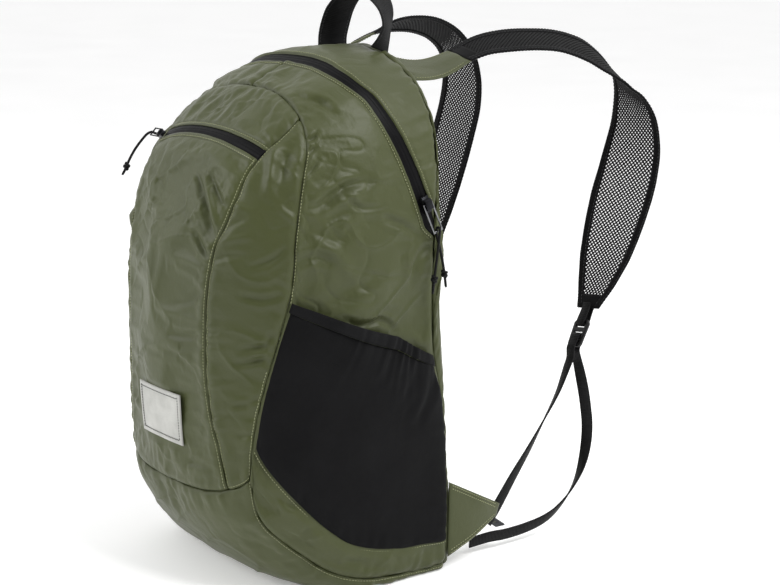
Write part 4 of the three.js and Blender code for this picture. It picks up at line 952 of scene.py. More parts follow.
def grid_mesh(name, grid, normals, skirt=2.6 * MM):
    """Sheet mesh of a grid whose edge turns in under the neighbouring cloth."""
    n, m = grid.shape[:2]
    across, down = grid_runs(grid)
    uv = np.stack([across - across[:, -1:] / 2, -down], -1).reshape(-1, 2)
    index = np.arange(n * m).reshape(n, m)
    rim = rim_of(index)
    flat = grid.reshape(-1, 3)
    turned = flat[rim] - normals.reshape(-1, 3)[rim] * skirt
    low = n * m + np.arange(len(rim))
    nxt = np.roll(np.arange(len(rim)), -1)
    faces = np.vstack([grid_faces(index), np.stack([low[nxt], low, rim, rim[nxt]], -1)])
    i, j = n // 2, m // 2
    if np.cross(grid[i + 1, j] - grid[i, j], grid[i, j + 1] - grid[i, j]) @ normals[i, j] < 0:
        faces = faces[:, ::-1]
    mesh = make_mesh(name, np.vstack([flat, turned]), faces, np.vstack([uv, uv[rim] * 1.01]))
    work = bmesh.new()
    work.from_mesh(mesh)
    bmesh.ops.remove_doubles(work, verts=work.verts, dist=2e-6)
    bmesh.ops.dissolve_degenerate(work, edges=work.edges, dist=1e-7)
    work.to_mesh(mesh)
    work.free()
    return mesh


GROWTH_STEPS = 16
CLOTH_HOLD = 0.02
CLOTH_SETTINGS = {
    "quality": 6, "mass": 0.15, "tension_stiffness": 40, "compression_stiffness": 40,
    "shear_stiffness": 12, "bending_stiffness": 0.4, "vertex_group_mass": "sewn", "pin_stiffness": 1.0,
}


def settle(sheets):
    """Cloth simulation of all sheets at once, sewn down along their edges and cut a little too big."""
    made = []
    for name, grid, grow in sheets:
        n, m = grid.shape[:2]
        index = np.arange(n * m).reshape(n, m)
        normals = grid_normals(grid)
        seeded = Noise(len(name) * 7 + n)
        across, down = grid_runs(grid)
        start = grid + normals * (0.25 * MM * seeded.at(across / 0.02, down / 0.02))[..., None]
        start[0], start[-1], start[:, 0], start[:, -1] = grid[0], grid[-1], grid[:, 0], grid[:, -1]
        mesh = make_mesh("settling_" + name, start.reshape(-1, 3), grid_faces(index))
        obj = link_object("settling_" + name, mesh)
        pins = obj.vertex_groups.new(name="sewn")
        pins.add([int(i) for i in index.ravel()], CLOTH_HOLD, "REPLACE")
        pins.add([int(i) for i in rim_of(index)], 1.0, "REPLACE")
        cloth = obj.modifiers.new("cloth", "CLOTH")
        for key, value in CLOTH_SETTINGS.items():
            setattr(cloth.settings, key, value)
        cloth.settings.shrink_min = -grow
        cloth.settings.shrink_max = -grow
        cloth.settings.effector_weights.gravity = 0
        cloth.collision_settings.use_collision = False
        cloth.point_cache.frame_start = 1
        cloth.point_cache.frame_end = GROWTH_STEPS
        made.append((name, grid, obj))
    for step in range(1, GROWTH_STEPS + 1):
        SCENE.frame_set(step)
    graph = bpy.context.evaluated_depsgraph_get()
    out = {}
    for name, grid, obj in made:
        evaluated = obj.evaluated_get(graph)
        co = np.zeros(grid.size)
        evaluated.data.vertices.foreach_get("co", co)
        out[name] = co.reshape(grid.shape)
    for _, _, obj in made:
        mesh = obj.data
        bpy.data.objects.remove(obj)
        bpy.data.meshes.remove(mesh)
    SCENE.frame_set(1)
    return out


def falling(d, reach, power=1):
    """One at the edge, fading out over this many millimetres."""
    return np.exp(-((d / (reach * MM)) ** power))


def hump(d, middle, wide):
    """Rounded ridge at one distance from the edge, in millimetres."""
    return np.exp(-(((d - middle * MM) / (wide * MM)) ** 2))


def limited(grid, moved, cap, edges):
    """Settled sheet with its travel off the body held within a cap, and still beside its seams."""
    normals = grid_normals(grid)
    near = nearest_edge(grid, edges)
    d = (moved - grid) * (1 - falling(near, 7, 1.5))[..., None]
    off = (d * normals).sum(-1, keepdims=True)
    side = d - off * normals
    reach = np.linalg.norm(side, axis=-1, keepdims=True)
    side = side * np.minimum(1, 0.5 * cap / np.maximum(reach, 1e-9))
    return grid + side + normals * cap * np.tanh(off / cap)


def seen_folds(grid, normals, rows):
    """Height that the photograph's folds add to each point of a grid."""
    x, y = pixels(grid)
    toward = -(normals @ VIEW_AHEAD)
    facing = np.clip((toward + 0.05) / 0.25, 0, 1)
    scale = DISTANCE / FOCAL_PIXELS
    total = np.zeros(grid.shape[:2])
    for depth, wide, points in rows:
        line = smooth_line(points, 20)
        far = np.full(grid.shape[:2], 1e9)
        share = np.zeros(grid.shape[:2])
        for k in range(len(line) - 1):
            a, b = line[k], line[k + 1]
            ab = b - a
            t = np.clip(((x - a[0]) * ab[0] + (y - a[1]) * ab[1]) / (ab @ ab), 0, 1)
            d = np.hypot(x - a[0] - t * ab[0], y - a[1] - t * ab[1])
            near = d < far
            far = np.where(near, d, far)
            share = np.where(near, (k + t) / (len(line) - 1), share)
        d = far * scale / (wide * MM)
        taper = np.sin(math.pi * np.clip(share * 0.86 + 0.10, 0, 1)) ** 0.7
        shape = np.exp(-d**2) - 0.38 * np.exp(-((d - 2.0) / 0.9) ** 2)
        total += depth * MM * shape * taper
    return total * facing


def edge_distances(grid):
    """For each edge of a grid: distance of every point to it, and its place along it."""
    across, down = grid_runs(grid)
    return {
        "left": (across, down[:, :1] + 0 * across),
        "right": (across[:, -1:] - across, down[:, -1:] + 0 * across),
        "top": (down, across[:1] + 0 * down),
        "foot": (down[-1:] - down, across[-1:] + 0 * down),
    }


ZIP_STEPS = 42
BACK_STEPS = 54
SIDE_ZIP = ZIP_STEPS / (ZIP_STEPS + BACK_STEPS)
ZIP_LAP = 1.3 * MM
FOLD_STRENGTH = 1.35


def nearest_edge(grid, edges):
    """Distance of every point to the nearest of these edges."""
    places = edge_distances(grid)
    return np.minimum.reduce([places[side][0] for side in edges])


def zip_part(style, rows):
    """Share of each row's edge that is a turned zip edge: all, none, or its upper part."""
    if style == "zip":
        return np.ones((rows, 1))
    if style == "seam":
        return np.zeros((rows, 1))
    down = np.linspace(0, 1, rows)[:, None]
    return np.clip((SIDE_ZIP - down) / 0.015 + 0.5, 0, 1)


def lap_over(grid, edges):
    """Cloth carried a little over the zip tape along its turned edges."""
    places = edge_distances(grid)
    ways = {"left": grid[:, :1] - grid[:, 1:2], "right": grid[:, -1:] - grid[:, -2:-1],
            "top": grid[:1] - grid[1:2], "foot": grid[-1:] - grid[-2:-1]}
    moved = grid.copy()
    for side, style in edges.items():
        share = zip_part(style, grid.shape[0]) * falling(places[side][0], 4)
        moved += unit(ways[side]) * ZIP_LAP * share[..., None]
    return moved


def relief(grid, edges, seed):
    """Seam valleys, turned zip edges, puckers and small creases of one panel."""
    noise = Noise(seed)
    other = Noise(seed + 100)
    across, down = grid_runs(grid)
    places = edge_distances(grid)
    height = np.zeros(grid.shape[:2])
    nearest = np.full(grid.shape[:2], 1.0)
    for side, style in edges.items():
        d, s = places[side]
        nearest = np.minimum(nearest, d)
        zip_share = zip_part(style, grid.shape[0])
        stitched = -1.5 * MM * falling(d, 1.7, 1.2)
        stitched += 0.55 * MM * hump(d, 6, 4)
        turned = 0.7 * MM * hump(d, 1.0, 1.2)
        turned -= 0.8 * MM * hump(d, 3.2, 1.0)
        height += stitched * (1 - zip_share) + turned * zip_share
        amount = (1.60 - 1.15 * zip_share) * MM
        reach = (17 - 7 * zip_share) * MM
        patchy = 0.35 + 0.65 * np.clip(other.at(s / 0.045, 0 * s + 7.3) + 0.55, 0, 1)
        ripple = noise.at(s / 0.0050 + d / 0.02, d / 0.026 + 11.7) + 0.7 * other.at(s / 0.010, d / 0.05 + 3.1)
        fade = np.exp(-((d / reach) ** 1.3)) * (1 - falling(d, 1.6))
        height += amount * patchy * np.tanh(ripple) * fade
    open_area = 1 - falling(nearest, 14, 2)
    slow = noise.at(across / 0.075, down / 0.075) + 0.5 * other.at(across / 0.034, down / 0.034)
    crease = 1 - np.abs(other.at((across + 0.7 * down) / 0.060 + 5, (down - 0.5 * across) / 0.026))
    small = noise.at(across / 0.012, down / 0.012)
    fine = 1 - np.abs(noise.at((across - 0.5 * down) / 0.030 + 9, (down + 0.6 * across) / 0.013))
    fine = fine**5 * np.clip(other.at(across / 0.05 + 31, down / 0.05) + 0.25, 0, 1)
    height += open_area * (0.9 * MM * slow + 1.3 * MM * (crease**6 - 0.2) + 0.10 * MM * small)
    height -= open_area * 1.1 * MM * fine
    return height


def border_line(grid, normals, side, offset, start=0.0, end=1.0):
    """Line on the grid at one distance from an edge, with its outward directions."""
    if side in ("top", "foot"):
        grid = np.swapaxes(grid, 0, 1)
        normals = np.swapaxes(normals, 0, 1)
    if side in ("right", "foot"):
        grid = grid[:, ::-1]
        normals = normals[:, ::-1]
    count = len(grid)
    points, ways = [], []
    for i in range(int(start * (count - 1)), int(end * (count - 1)) + 1):
        run = run_of(grid[i])
        if run[-1] < 2.2 * offset:
            continue
        points.append([np.interp(offset, run, grid[i][:, c]) for c in range(3)])
        ways.append([np.interp(offset, run, normals[i][:, c]) for c in range(3)])
    return np.array(points), unit(np.array(ways))


def stitch_parts(line, ways, pitch=2.6 * MM, length=1.8 * MM, radius=0.34 * MM):
    """Sewn stitches along a line: short rounded threads that dip at both ends."""
    run = run_of(line)
    places = np.arange(pitch, run[-1] - pitch, pitch)
    mid = resample(line, places)
    way = unit(resample_like(ways, run, places))
    ahead = unit(resample(line, places + 0.3 * pitch) - resample(line, places - 0.3 * pitch))
    side = unit(np.cross(way, ahead))
    rings = ((-0.5, 0.55, -0.25), (-0.22, 1.0, 0.55), (0.22, 1.0, 0.55), (0.5, 0.55, -0.25))
    corners = ((1, 0), (0, 1), (-1, 0), (0, -1))
    points = []
    for share, fat, lift in rings:
        for a, b in corners:
            points.append(mid + ahead * share * length + way * radius * (lift + b * fat * 0.8)
                          + side * radius * a * fat)
    points = np.stack(points, 1)
    every = [tuple(16 * i + k for k in f) for i in range(len(points)) for f in ring_faces(4, 4)]
    flat = points.reshape(-1, 3)
    return flat, every, np.zeros((len(flat), 2))


def sew(name, material, slot_name, lines, **look):
    """One piece holding the stitches of several lines."""
    groups = [stitch_parts(line, ways, **look) for line, ways in lines if len(line) > 6]
    mesh = make_mesh(name, *merged(*groups))
    return dress(link_object(name, mesh, material), slot_name)


# seams at full length

arch_crown = seam(ARCH_CROWN)
arch_side = seam(ARCH_SIDE)
princess_top = seam(PRINCESS_TOP)
princess_zip = seam(PRINCESS_ZIP)
princess_side = seam(PRINCESS_SIDE)
smile_mid = seam(SMILE_MID)[::-1]
smile_end = seam(SMILE_END)
front_zip_top = seam(FRONT_ZIP_TOP)[::-1]
front_zip_low = seam(FRONT_ZIP_LOW)[::-1]
side_bottom = seam(SIDE_BOTTOM)
back_crown = seam(BACK_CROWN)
back_zip = seam(BACK_ZIP, 12)
back_side = seam(BACK_SIDE)
back_foot = seam(BACK_FOOT)[::-1]


def zip_edge(side, end):
    """Edge of the main zip band, running into the back seam."""
    line = seam(ZIP_LINE, ZIP_SAMPLES)
    ahead = unit(np.gradient(line, axis=0))
    across = unit(np.cross(normal_at(line), ahead))
    across = np.where(across[:, 1:2] < 0, -across, across)
    out = push(line + across * side * ZIP_BAND / 2)
    out[0, 0] = 0
    kept = out[out[:, 2] >= end[2] + 0.02 * HEIGHT]
    joined = np.vstack([kept, end[None]])
    made = push(evenly(joined, 160))
    made[-1] = end
    return made


zip_up = zip_edge(1, back_zip[0])
zip_low = zip_edge(-1, back_zip[-1])
top_centre = push(evenly(np.vstack([zip_low[0], arch_crown[0]]), 40))
top_centre[0] = zip_low[0]
top_centre[-1] = arch_crown[0]


SEWN = {"top": "seam", "foot": "seam", "left": "seam", "right": "seam"}


def panels():
    """Every cloth panel of the shell: grid, edges, growth, cap in mm, seed."""
    rows = {}
    side = patch(
        evenly(top_centre, 40), evenly(side_bottom[::-1], 40),
        join(evenly(zip_low, ZIP_STEPS), evenly(back_side, BACK_STEPS)),
        evenly(join(arch_crown, arch_side), ZIP_STEPS + BACK_STEPS))
    side_edges = {"left": "zip then seam", "right": "seam", "top": "seam", "foot": "seam"}
    rows["side_panel_right"] = (side, side_edges, 0.009, 5.0, 11)
    rows["side_panel_left"] = (mirrored(side), side_edges, 0.009, 5.0, 12)
    down = join(evenly(princess_top, 12), evenly(princess_zip, 4), evenly(princess_side, 56))
    tip = np.repeat(arch_side[:1], 13, axis=0)
    gusset = patch(tip, evenly(smile_end, 12), down, evenly(arch_side, 72))
    gusset_edges = {"left": "seam", "right": "seam", "foot": "seam"}
    rows["front_gusset_right"] = (gusset, gusset_edges, 0.022, 4.0, 13)
    rows["front_gusset_left"] = (mirrored(gusset), gusset_edges, 0.022, 4.0, 14)
    sides = evenly(princess_top, 14)
    rows["front_top_panel"] = (
        patch(evenly(whole(arch_crown), 48), evenly(whole(front_zip_top), 48), sides, mirrored(sides)),
        {**SEWN, "foot": "zip"}, 0.014, 4.0, 15)
    sides = evenly(princess_side, 64)
    rows["front_pocket_panel"] = (
        patch(evenly(whole(front_zip_low), 48), evenly(whole(smile_mid), 48), sides, mirrored(sides)),
        {**SEWN, "top": "zip"}, 0.010, 5.0, 16)
    tip = np.repeat(back_crown[-1:], 7, axis=0)
    rows["rear_yoke"] = (
        patch(tip, mirrored(tip), evenly(whole(zip_up), 120), evenly(whole(back_crown), 120)),
        {"left": "zip", "right": "seam"}, 0.012, 3.0, 17)
    smile = join(smile_end[::-1], whole(smile_mid), mirrored(smile_end))
    sides = evenly(side_bottom, 40)
    rows["bottom_panel"] = (
        patch(evenly(smile, 48), evenly(whole(back_foot), 48), sides, mirrored(sides)),
        SEWN, 0.010, 3.0, 18)
    sides = join(evenly(back_zip, 4), evenly(back_side, 68))
    rows["back_panel"] = (
        patch(evenly(whole(back_crown), 48), evenly(whole(back_foot), 48), sides, mirrored(sides)),
        SEWN, 0.010, 4.0, 19)
    return rows


REFINE = 3
SHOWN = ("side_panel_right", "front_gusset_right", "front_top_panel", "front_pocket_panel")


def cover_share(x, y, outline, margin, soft):
    """One within a closed outline and its margin, none outside, softly at its edge."""
    within = np.zeros(x.shape, bool)
    far = np.full(x.shape, 1e9)
    for a, b in zip(outline, np.roll(outline, -1, axis=0)):
        rise = b[1] - a[1] if abs(b[1] - a[1]) > 1e-9 else 1e-9
        crosses = (a[1] > y) != (b[1] > y)
        within ^= crosses & (x < a[0] + (y - a[1]) * (b[0] - a[0]) / rise)
        ab = b - a
        t = np.clip(((x - a[0]) * ab[0] + (y - a[1]) * ab[1]) / max(ab @ ab, 1e-12), 0, 1)
        far = np.minimum(far, np.hypot(x - a[0] - t * ab[0], y - a[1] - t * ab[1]))
    signed = np.where(within, far, -far)
    return np.clip(0.5 + (signed + margin) / soft, 0, 1)


def covered(name, grid):
    """Where a pocket or the label lies on a panel and holds it flat."""
    if name.startswith("side_panel"):
        lines = [evenly(seam(POCKET_TOP), 20), evenly(seam(POCKET_BACK), 14),
                 evenly(seam(POCKET_FOOT), 24), evenly(seam(POCKET_FRONT)[::-1], 14)]
        outline = join(*lines)[:-1, 1:]
        return cover_share(grid[..., 1], grid[..., 2], outline, 3 * MM, 9 * MM)
    if name == "front_pocket_panel":
        half, z = LABEL_WIDTH / 2, LABEL_MIDDLE * HEIGHT
        low, high = z - LABEL_HEIGHT / 2, z + LABEL_HEIGHT / 2
        outline = np.array([[-half, low], [half, low], [half, high], [-half, high]])
        return cover_share(grid[..., 0], grid[..., 2], outline, 2 * MM, 7 * MM)
    return np.zeros(grid.shape[:2])


def make_panels():
    """Settles the panels, adds their folds and puts them in the scene."""
    rows = panels()
    moved = settle([(name, row[0], row[2]) for name, row in rows.items()])
    grids = {}
    for name, (grid, edges, _, cap, seed) in rows.items():
        held = limited(grid, moved[name], cap * MM, edges)
        times = REFINE + 1 if name in SHOWN else REFINE
        base = refine(grid, times)
        base_way = grid_normals(base)
        fine = refine(held, times)
        normals = grid_normals(fine)
        height = relief(fine, edges, seed)
        folds = FOLDS.get(name.replace("left", "right"), [])
        spot = mirrored(fine) if name.endswith("left") else fine
        way = mirrored(normals) if name.endswith("left") else normals
        near = nearest_edge(fine, edges)
        height = height + FOLD_STRENGTH * seen_folds(spot, way, folds) * (1 - falling(near, 4, 2))
        fine = fine + normals * height[..., None]
        off = ((fine - base) * base_way).sum(-1)
        press = covered(name, base) * (np.minimum(off, -0.3 * MM) - off)
        fine = lap_over(fine + base_way * press[..., None], edges)
        fine[..., 2] = np.maximum(fine[..., 2], 0.0)
        normals = grid_normals(fine)
        mesh = grid_mesh(name + "_cloth", fine, normals)
        dress(link_object(name + "_cloth", mesh, OLIVE), "olive_cloth", name)
        grids[name] = (fine, normals)
    return grids


GRIDS = make_panels()


def zip_band(name, grid, slot_name):
    """Coated zip: two tapes with a low coil ridge and the slit along its middle."""
    normals = grid_normals(grid)
    share = np.abs(np.linspace(-1, 1, grid.shape[1]))[None, :]
    ridge = 0.55 * np.exp(-((share / 0.42) ** 4)) - 0.45 * np.exp(-((share / 0.05) ** 2))
    edge = -1.3 * np.clip((share - 0.72) / 0.28, 0, 1) ** 2
    across, down = grid_runs(grid)
    wobble = 0.12 * Noise(31).at(down / 0.03, 0 * down)
    height = (-0.75 + ridge + edge + wobble) * MM
    fine = grid + normals * height[..., None]
    mesh = grid_mesh(name + "_tape", fine, grid_normals(fine), 1.5 * MM)
    return dress(link_object(name + "_tape", mesh, ZIP), slot_name, name)


def make_zips():
    """Both zip bands."""
    ends = evenly(back_zip, 24)
    main = patch(ends, mirrored(ends), evenly(whole(zip_up), 360), evenly(whole(zip_low), 360))
    zip_band("main_zip_band", main, "zip_tape")
    sides = evenly(princess_zip, 24)
    front = patch(
        evenly(whole(front_zip_top), 200), evenly(whole(front_zip_low), 200), sides, mirrored(sides))
    zip_band("front_zip_band", np.swapaxes(front, 0, 1), "zip_tape")


make_zips()


# side pockets

def pocket_grid():
    """The right pocket's grid on the body, before it stands off."""
    across, down = 72, 84
    return patch(evenly(seam(POCKET_TOP), across), evenly(seam(POCKET_FOOT)[::-1], across),
                 evenly(seam(POCKET_FRONT), down), evenly(seam(POCKET_BACK), down))


HEM_SHARE = 0.062
POCKET_LAP = 2.4 * MM


def to_seam(grid, lap=POCKET_LAP):
    """Pocket sheet carried forward to the arch seam along its front edge."""
    across = grid_runs(grid)[0]
    reach = lap * falling(across, 9)
    return grid + unit(grid[:, :1] - grid[:, 1:2]) * reach[..., None]


def pocket_lift(u, v):
    """How far the pocket stands off the body."""
    return 0.55 * MM + POCKET_STANDOFF * (1 - u) ** 1.3 * np.sin(math.pi * v) ** 0.8


def gathers(u, s, v, noise):
    """Elastic gathers: ridges that run down from the hem, strongest toward the back."""
    strong = 0.25 + 0.75 * np.clip((v - 0.28) / 0.45, 0, 1) ** 1.2
    drift = s + 0.02 * noise.at(s / 0.04, u * 2.0) - 0.030 * u
    ridges = noise.at(drift / 0.0048, u * 1.3) + 0.5 * noise.at(drift / 0.009, 9 + u * 2)
    fade = np.exp(-((np.maximum(u - HEM_SHARE, 0) / 0.16) ** 1.2))
    return strong * ridges * fade


def make_pocket(side):
    """Pocket body and its gathered hem, one side."""
    tag = "right" if side > 0 else "left"
    base = refine(pocket_grid(), 2)
    n, m = base.shape[:2]
    normals = normal_at(base[:: 4, :: 4])
    normals = unit(refine(normals, 4))
    v = np.linspace(0, 1, m)[None, :]
    noise = Noise(41 if side > 0 else 42)
    run = grid_runs(base)[0]
    sample = np.linspace(0, 1, n)

    def layer(rows, extras, settle_in):
        points = []
        for u, extra in zip(rows, extras):
            spot = np.stack([[np.interp(u, sample, base[:, j, c]) for c in range(3)] for j in range(m)])
            way = np.stack([[np.interp(u, sample, normals[:, j, c]) for c in range(3)] for j in range(m)])
            s = np.array([np.interp(u, sample, run[:, j]) for j in range(m)])
            lift = pocket_lift(max(u, 0), v[0]) + extra * MM
            fold = gathers(u, s, v[0], noise) * 1.7 * MM * settle_in
            hem_edge = np.clip(np.minimum(v[0], 1 - v[0]) / 0.03, 0, 1) ** 0.5
            points.append(spot + unit(way) * (lift * (0.35 + 0.65 * hem_edge) + fold * hem_edge)[:, None])
        return np.array(points)

    rows = np.linspace(HEM_SHARE + 0.004, 1, 150)
    body = layer(rows, np.full(len(rows), 1.4), 1.0)
    way = grid_normals(body)
    across, down = grid_runs(body)
    places = edge_distances(body)
    low = nearest_edge(body, ("left", "right", "foot"))
    height = -1.3 * MM * falling(low, 2.2, 1.2)
    for key in ("left", "right", "foot"):
        d, s = places[key]
        pucker = noise.at(s / 0.006, d / 0.03) * falling(d, 13, 1.3) * (1 - falling(d, 2))
        height += 0.8 * MM * pucker
    calm = 1 - falling(low, 15, 2)
    height += calm * (1.3 * MM * noise.at(across / 0.06, down / 0.075)
                      + 0.5 * MM * noise.at(across / 0.025, down / 0.03))
    height += seen_folds(body, way, FOLDS["side_pocket_right"])
    body = to_seam(body + way * height[..., None])
    hem_rows = [0.064, 0.058, 0.044, 0.030, 0.016, 0.006, 0.000, 0.000, 0.004, 0.016, 0.030, 0.045, 0.060]
    hem_lift = [1.5, 2.1, 2.45, 2.5, 2.4, 2.1, 1.6, 0.9, 0.3, 0.1, 0.0, 0.0, 0.0]
    hem = to_seam(layer(hem_rows, hem_lift, 0.85), 0.6 * MM)
    if side < 0:
        body, hem = mirrored(body), mirrored(hem)
    way = grid_normals(body)
    mesh = grid_mesh(f"side_pocket_{tag}_cloth", body, way, 0.9 * MM)
    dress(link_object(mesh.name, mesh, STRETCH), "black_stretch", f"side_pocket_{tag}")
    hem_way = grid_normals(hem[:7])
    hem_way = np.concatenate([hem_way, np.repeat(hem_way[-1:], len(hem) - 7, axis=0)])
    mesh = grid_mesh(f"pocket_hem_{tag}_elastic", hem, hem_way, 0.0005 * MM)
    dress(link_object(mesh.name, mesh, ELASTIC), "black_elastic", f"pocket_hem_{tag}")
    foot = seam(POCKET_FOOT)
    line = push(foot + unit(foot - seam_middle(foot)) * 2.6 * MM)
    ways = normal_at(line)
    line = line - ways * 0.1 * MM
    if side < 0:
        line, ways = mirrored(line), mirrored(ways)
    sew(f"pocket_foot_stitches_{tag}", OLIVE_THREAD, "olive_cloth", [(line, ways)])


def seam_middle(line):
    """A point above a line, well inside the pocket that it bounds."""
    return line.mean(axis=0) + np.array([0, 0, 0.15 * HEIGHT])


make_pocket(1)
make_pocket(-1)


# label

def make_label():
    """Bare woven label with folded edges and a sewn frame."""
    n, m = 36, 56
    down = np.linspace(0, 1, n + 1)[:, None]
    z = LABEL_MIDDLE * HEIGHT + LABEL_HEIGHT * (0.5 - down) + np.zeros((1, m + 1))
    x = LABEL_WIDTH * (np.linspace(0, 1, m + 1) - 0.5)[None, :] + np.zeros((n + 1, 1))
    spots = np.stack([x, np.full_like(x, -FRONT_REACH), z], -1)
    p = push(spots)
    way = normal_at(p)
    near = nearest_edge(p, SEWN)
    noise = Noise(51)
    lift = 1.1 * MM + 0.5 * MM * hump(near, 2.4, 1.6)
    lift -= 0.45 * MM * hump(near, 4.2, 0.8)
    lift += 0.22 * MM * noise.at(x / 0.014, z / 0.014)
    p = p + way * lift[..., None]
    mesh = grid_mesh("label_patch_cloth", p, way, 0.9 * MM)
    dress(link_object(mesh.name, mesh, LABEL_CLOTH), "label_cloth", "label_patch")
    lines = [border_line(p, way, side, 3.9 * MM, 0.03, 0.97) for side in SEWN]
    sew("label_stitches", DARK_THREAD, "label_cloth", lines, pitch=2.3 * MM, length=1.7 * MM,
        radius=0.45 * MM)


make_label()


# strips, straps, wings and webbing

def strip_frame(spots, across, half):
    """Along, across and up directions of a route."""
    along = unit(np.gradient(spots, axis=0))
    across = unit(across - along * (across * along).sum(-1, keepdims=True))
    up = unit(np.cross(along, across))
    return {"at": spots, "along": along, "across": across, "up": up, "half": half}


def route(table, count, place):
    """Route table as a frame with count even steps."""
    rows = smooth_rows(table, np.linspace(0, len(table) - 1, 40 * len(table)))
    spots = place(rows)
    every = np.hstack([spots, unit(rows[:, 3:6]), rows[:, 6:7] * MM])
    run = run_of(spots)
    places = np.linspace(0, run[-1], count + 1)
    out = resample_like(every, run, places)
    return strip_frame(out[:, :3], out[:, 3:6], out[:, 6])


def loop_along(f, profile):
    """Closed tube with caps: profile(i) gives points (across, up) in metres at row i."""
    points, uvs = [], []
    run = run_of(f["at"])
    for i in range(len(run)):
        for a, h in profile(i):
            points.append(f["at"][i] + f["across"][i] * a + f["up"][i] * h)
            uvs.append((a, run[i]))
    return np.array(points), ring_faces(len(run), len(profile(0))), np.array(uvs)


def rounded(left, right, thick, edge=0.35):
    """Flat rounded section between two places across."""
    h = thick / 2
    e = min(edge * thick, (right - left) / 4)
    middle = (left + right) / 2
    return [(left, -h * 0.45), (left + e, -h), (middle, -h), (right - e, -h), (right, -h * 0.45),
            (right, h * 0.45), (right - e, h), (middle, h), (left + e, h), (left, h * 0.45)]


def tidy_faces(mesh):
    """Faces of a closed mesh turned to face out."""
    work = bmesh.new()
    work.from_mesh(mesh)
    bmesh.ops.recalc_face_normals(work, faces=work.faces)
    work.to_mesh(mesh)
    work.free()
    return mesh


def solid_piece(name, groups, material, slot_name, *nodes):
    """Closed piece from groups of points, faces and uvs."""
    mesh = tidy_faces(make_mesh(name, *merged(*groups)))
    return dress(link_object(name, mesh, material), slot_name, *nodes)


def part_of(f, rows):
    """Some rows of a frame."""
    return {key: value[rows] for key, value in f.items()}


NET_PITCH = 3.9 * MM
NET_HOLE = 0.56


def net_parts(f, margin):
    """Open diamond mesh between the strap's bound edges."""
    run = run_of(f["at"])
    half_pitch = NET_PITCH / 2
    across_count = int(0.035 / half_pitch)
    along_count = int(run[-1] / half_pitch)
    first, last = 0.004, run[-1] - 0.004
    nodes, points, faces, uvs = {}, [], [], []

    def node(a, s):
        key = (round(a * 1e6), round(s * 1e6))
        if key not in nodes:
            nodes[key] = len(points)
            points.append((a, s))
        return nodes[key]

    for j in range(1, along_count):
        s = j * half_pitch
        if not first < s < last:
            continue
        limit = np.interp(s, run, f["half"]) - margin
        for i in range(-across_count, across_count + 1):
            a = i * half_pitch
            if (i + j) % 2 == 0 or abs(a) > limit:
                continue
            corners = [(a - half_pitch, s), (a, s + half_pitch), (a + half_pitch, s), (a, s - half_pitch)]
            outer = [node(*c) for c in corners]
            inner = []
            for ca, cs in corners:
                inner.append(node(a + (ca - a) * NET_HOLE, s + (cs - s) * NET_HOLE))
            for k in range(4):
                n = (k + 1) % 4
                faces.append((outer[k], outer[n], inner[n], inner[k]))
    flat = np.array(points)
    spots = resample_like(f["at"], run, flat[:, 1])
    way = unit(resample_like(f["across"], run, flat[:, 1]))
    up = unit(resample_like(f["up"], run, flat[:, 1]))
    sag = -0.4 * MM * np.cos(np.clip(flat[:, 0] / 0.02, -1, 1) * math.pi / 2)
    return spots + way * flat[:, :1] + up * sag[:, None], faces, flat


def make_strap(tag, table):
    """Mesh strap with taped edges; returns its frame."""
    count = 192
    f = route(table, count, behind)
    half = f["half"]
    thick = 2.3 * MM
    noise = Noise(61 if tag == "right" else 62)
    run = run_of(f["at"])
    wave = noise.at(run / 0.012, 0 * run)

    def edge(sign):
        def profile(i):
            outer = half[i] + 0.25 * MM * wave[i]
            inner = half[i] - BINDING
            shape = rounded(inner, outer, thick)
            if sign < 0:
                shape = [(-a, h) for a, h in shape]
            return shape
        return profile

    groups = [loop_along(f, edge(1)), loop_along(f, edge(-1))]
    step = count // 32
    for rows in (slice(0, step + 1), slice(count - step, count + 1)):
        part = part_of(f, rows)
        groups.append(loop_along(part, lambda i, part=part: rounded(
            -part["half"][i] + 0.5 * BINDING, part["half"][i] - 0.5 * BINDING, 0.95 * thick)))
    solid_piece(f"strap_binding_{tag}_tape", groups, EDGE_TAPE, "strap_binding", f"strap_binding_{tag}")
    points, faces, uvs = net_parts(f, BINDING - 2.6 * MM)
    mesh = make_mesh(f"strap_mesh_{tag}_net", points, faces, uvs, smooth=False)
    obj = link_object(mesh.name, mesh, NET)
    thickness = obj.modifiers.new("thread", "SOLIDIFY")
    thickness.thickness = 0.7 * MM
    thickness.offset = 0.0
    apply_modifiers(obj)
    dress(obj, "strap_mesh", f"strap_mesh_{tag}")
    lines = []
    for sign in (1, -1):
        for inset in (0.9 * MM, BINDING - 1.3 * MM):
            for face in (1, -1):
                spots = f["at"] + f["across"] * (sign * (half - inset))[:, None] + f["up"] * face * thick / 2
                lines.append((spots, f["up"] * face))
    sew(f"strap_stitches_{tag}", BLACK_THREAD, "strap_binding", lines, pitch=3.2 * MM, length=2.3 * MM,
        radius=0.22 * MM)
    return f


def apply_modifiers(obj):
    """Bakes an object's modifiers into its mesh."""
    graph = bpy.context.evaluated_depsgraph_get()
    mesh = bpy.data.meshes.new_from_object(obj.evaluated_get(graph))
    old = obj.data
    obj.modifiers.clear()
    obj.data = mesh
    bpy.data.meshes.remove(old)


STRAPS = {"right": make_strap("right", STRAP_RIGHT), "left": make_strap("left", STRAP_LEFT)}


def ribbon(name, spots, across, half, thick, material, slot_name, *nodes):
    """Flat webbing along a route."""
    f = strip_frame(np.asarray(spots), unit(np.asarray(across)), np.full(len(spots), half))
    parts = loop_along(f, lambda i: rounded(-half, half, thick, 0.3))
    return solid_piece(name, [parts], material, slot_name, *nodes), f


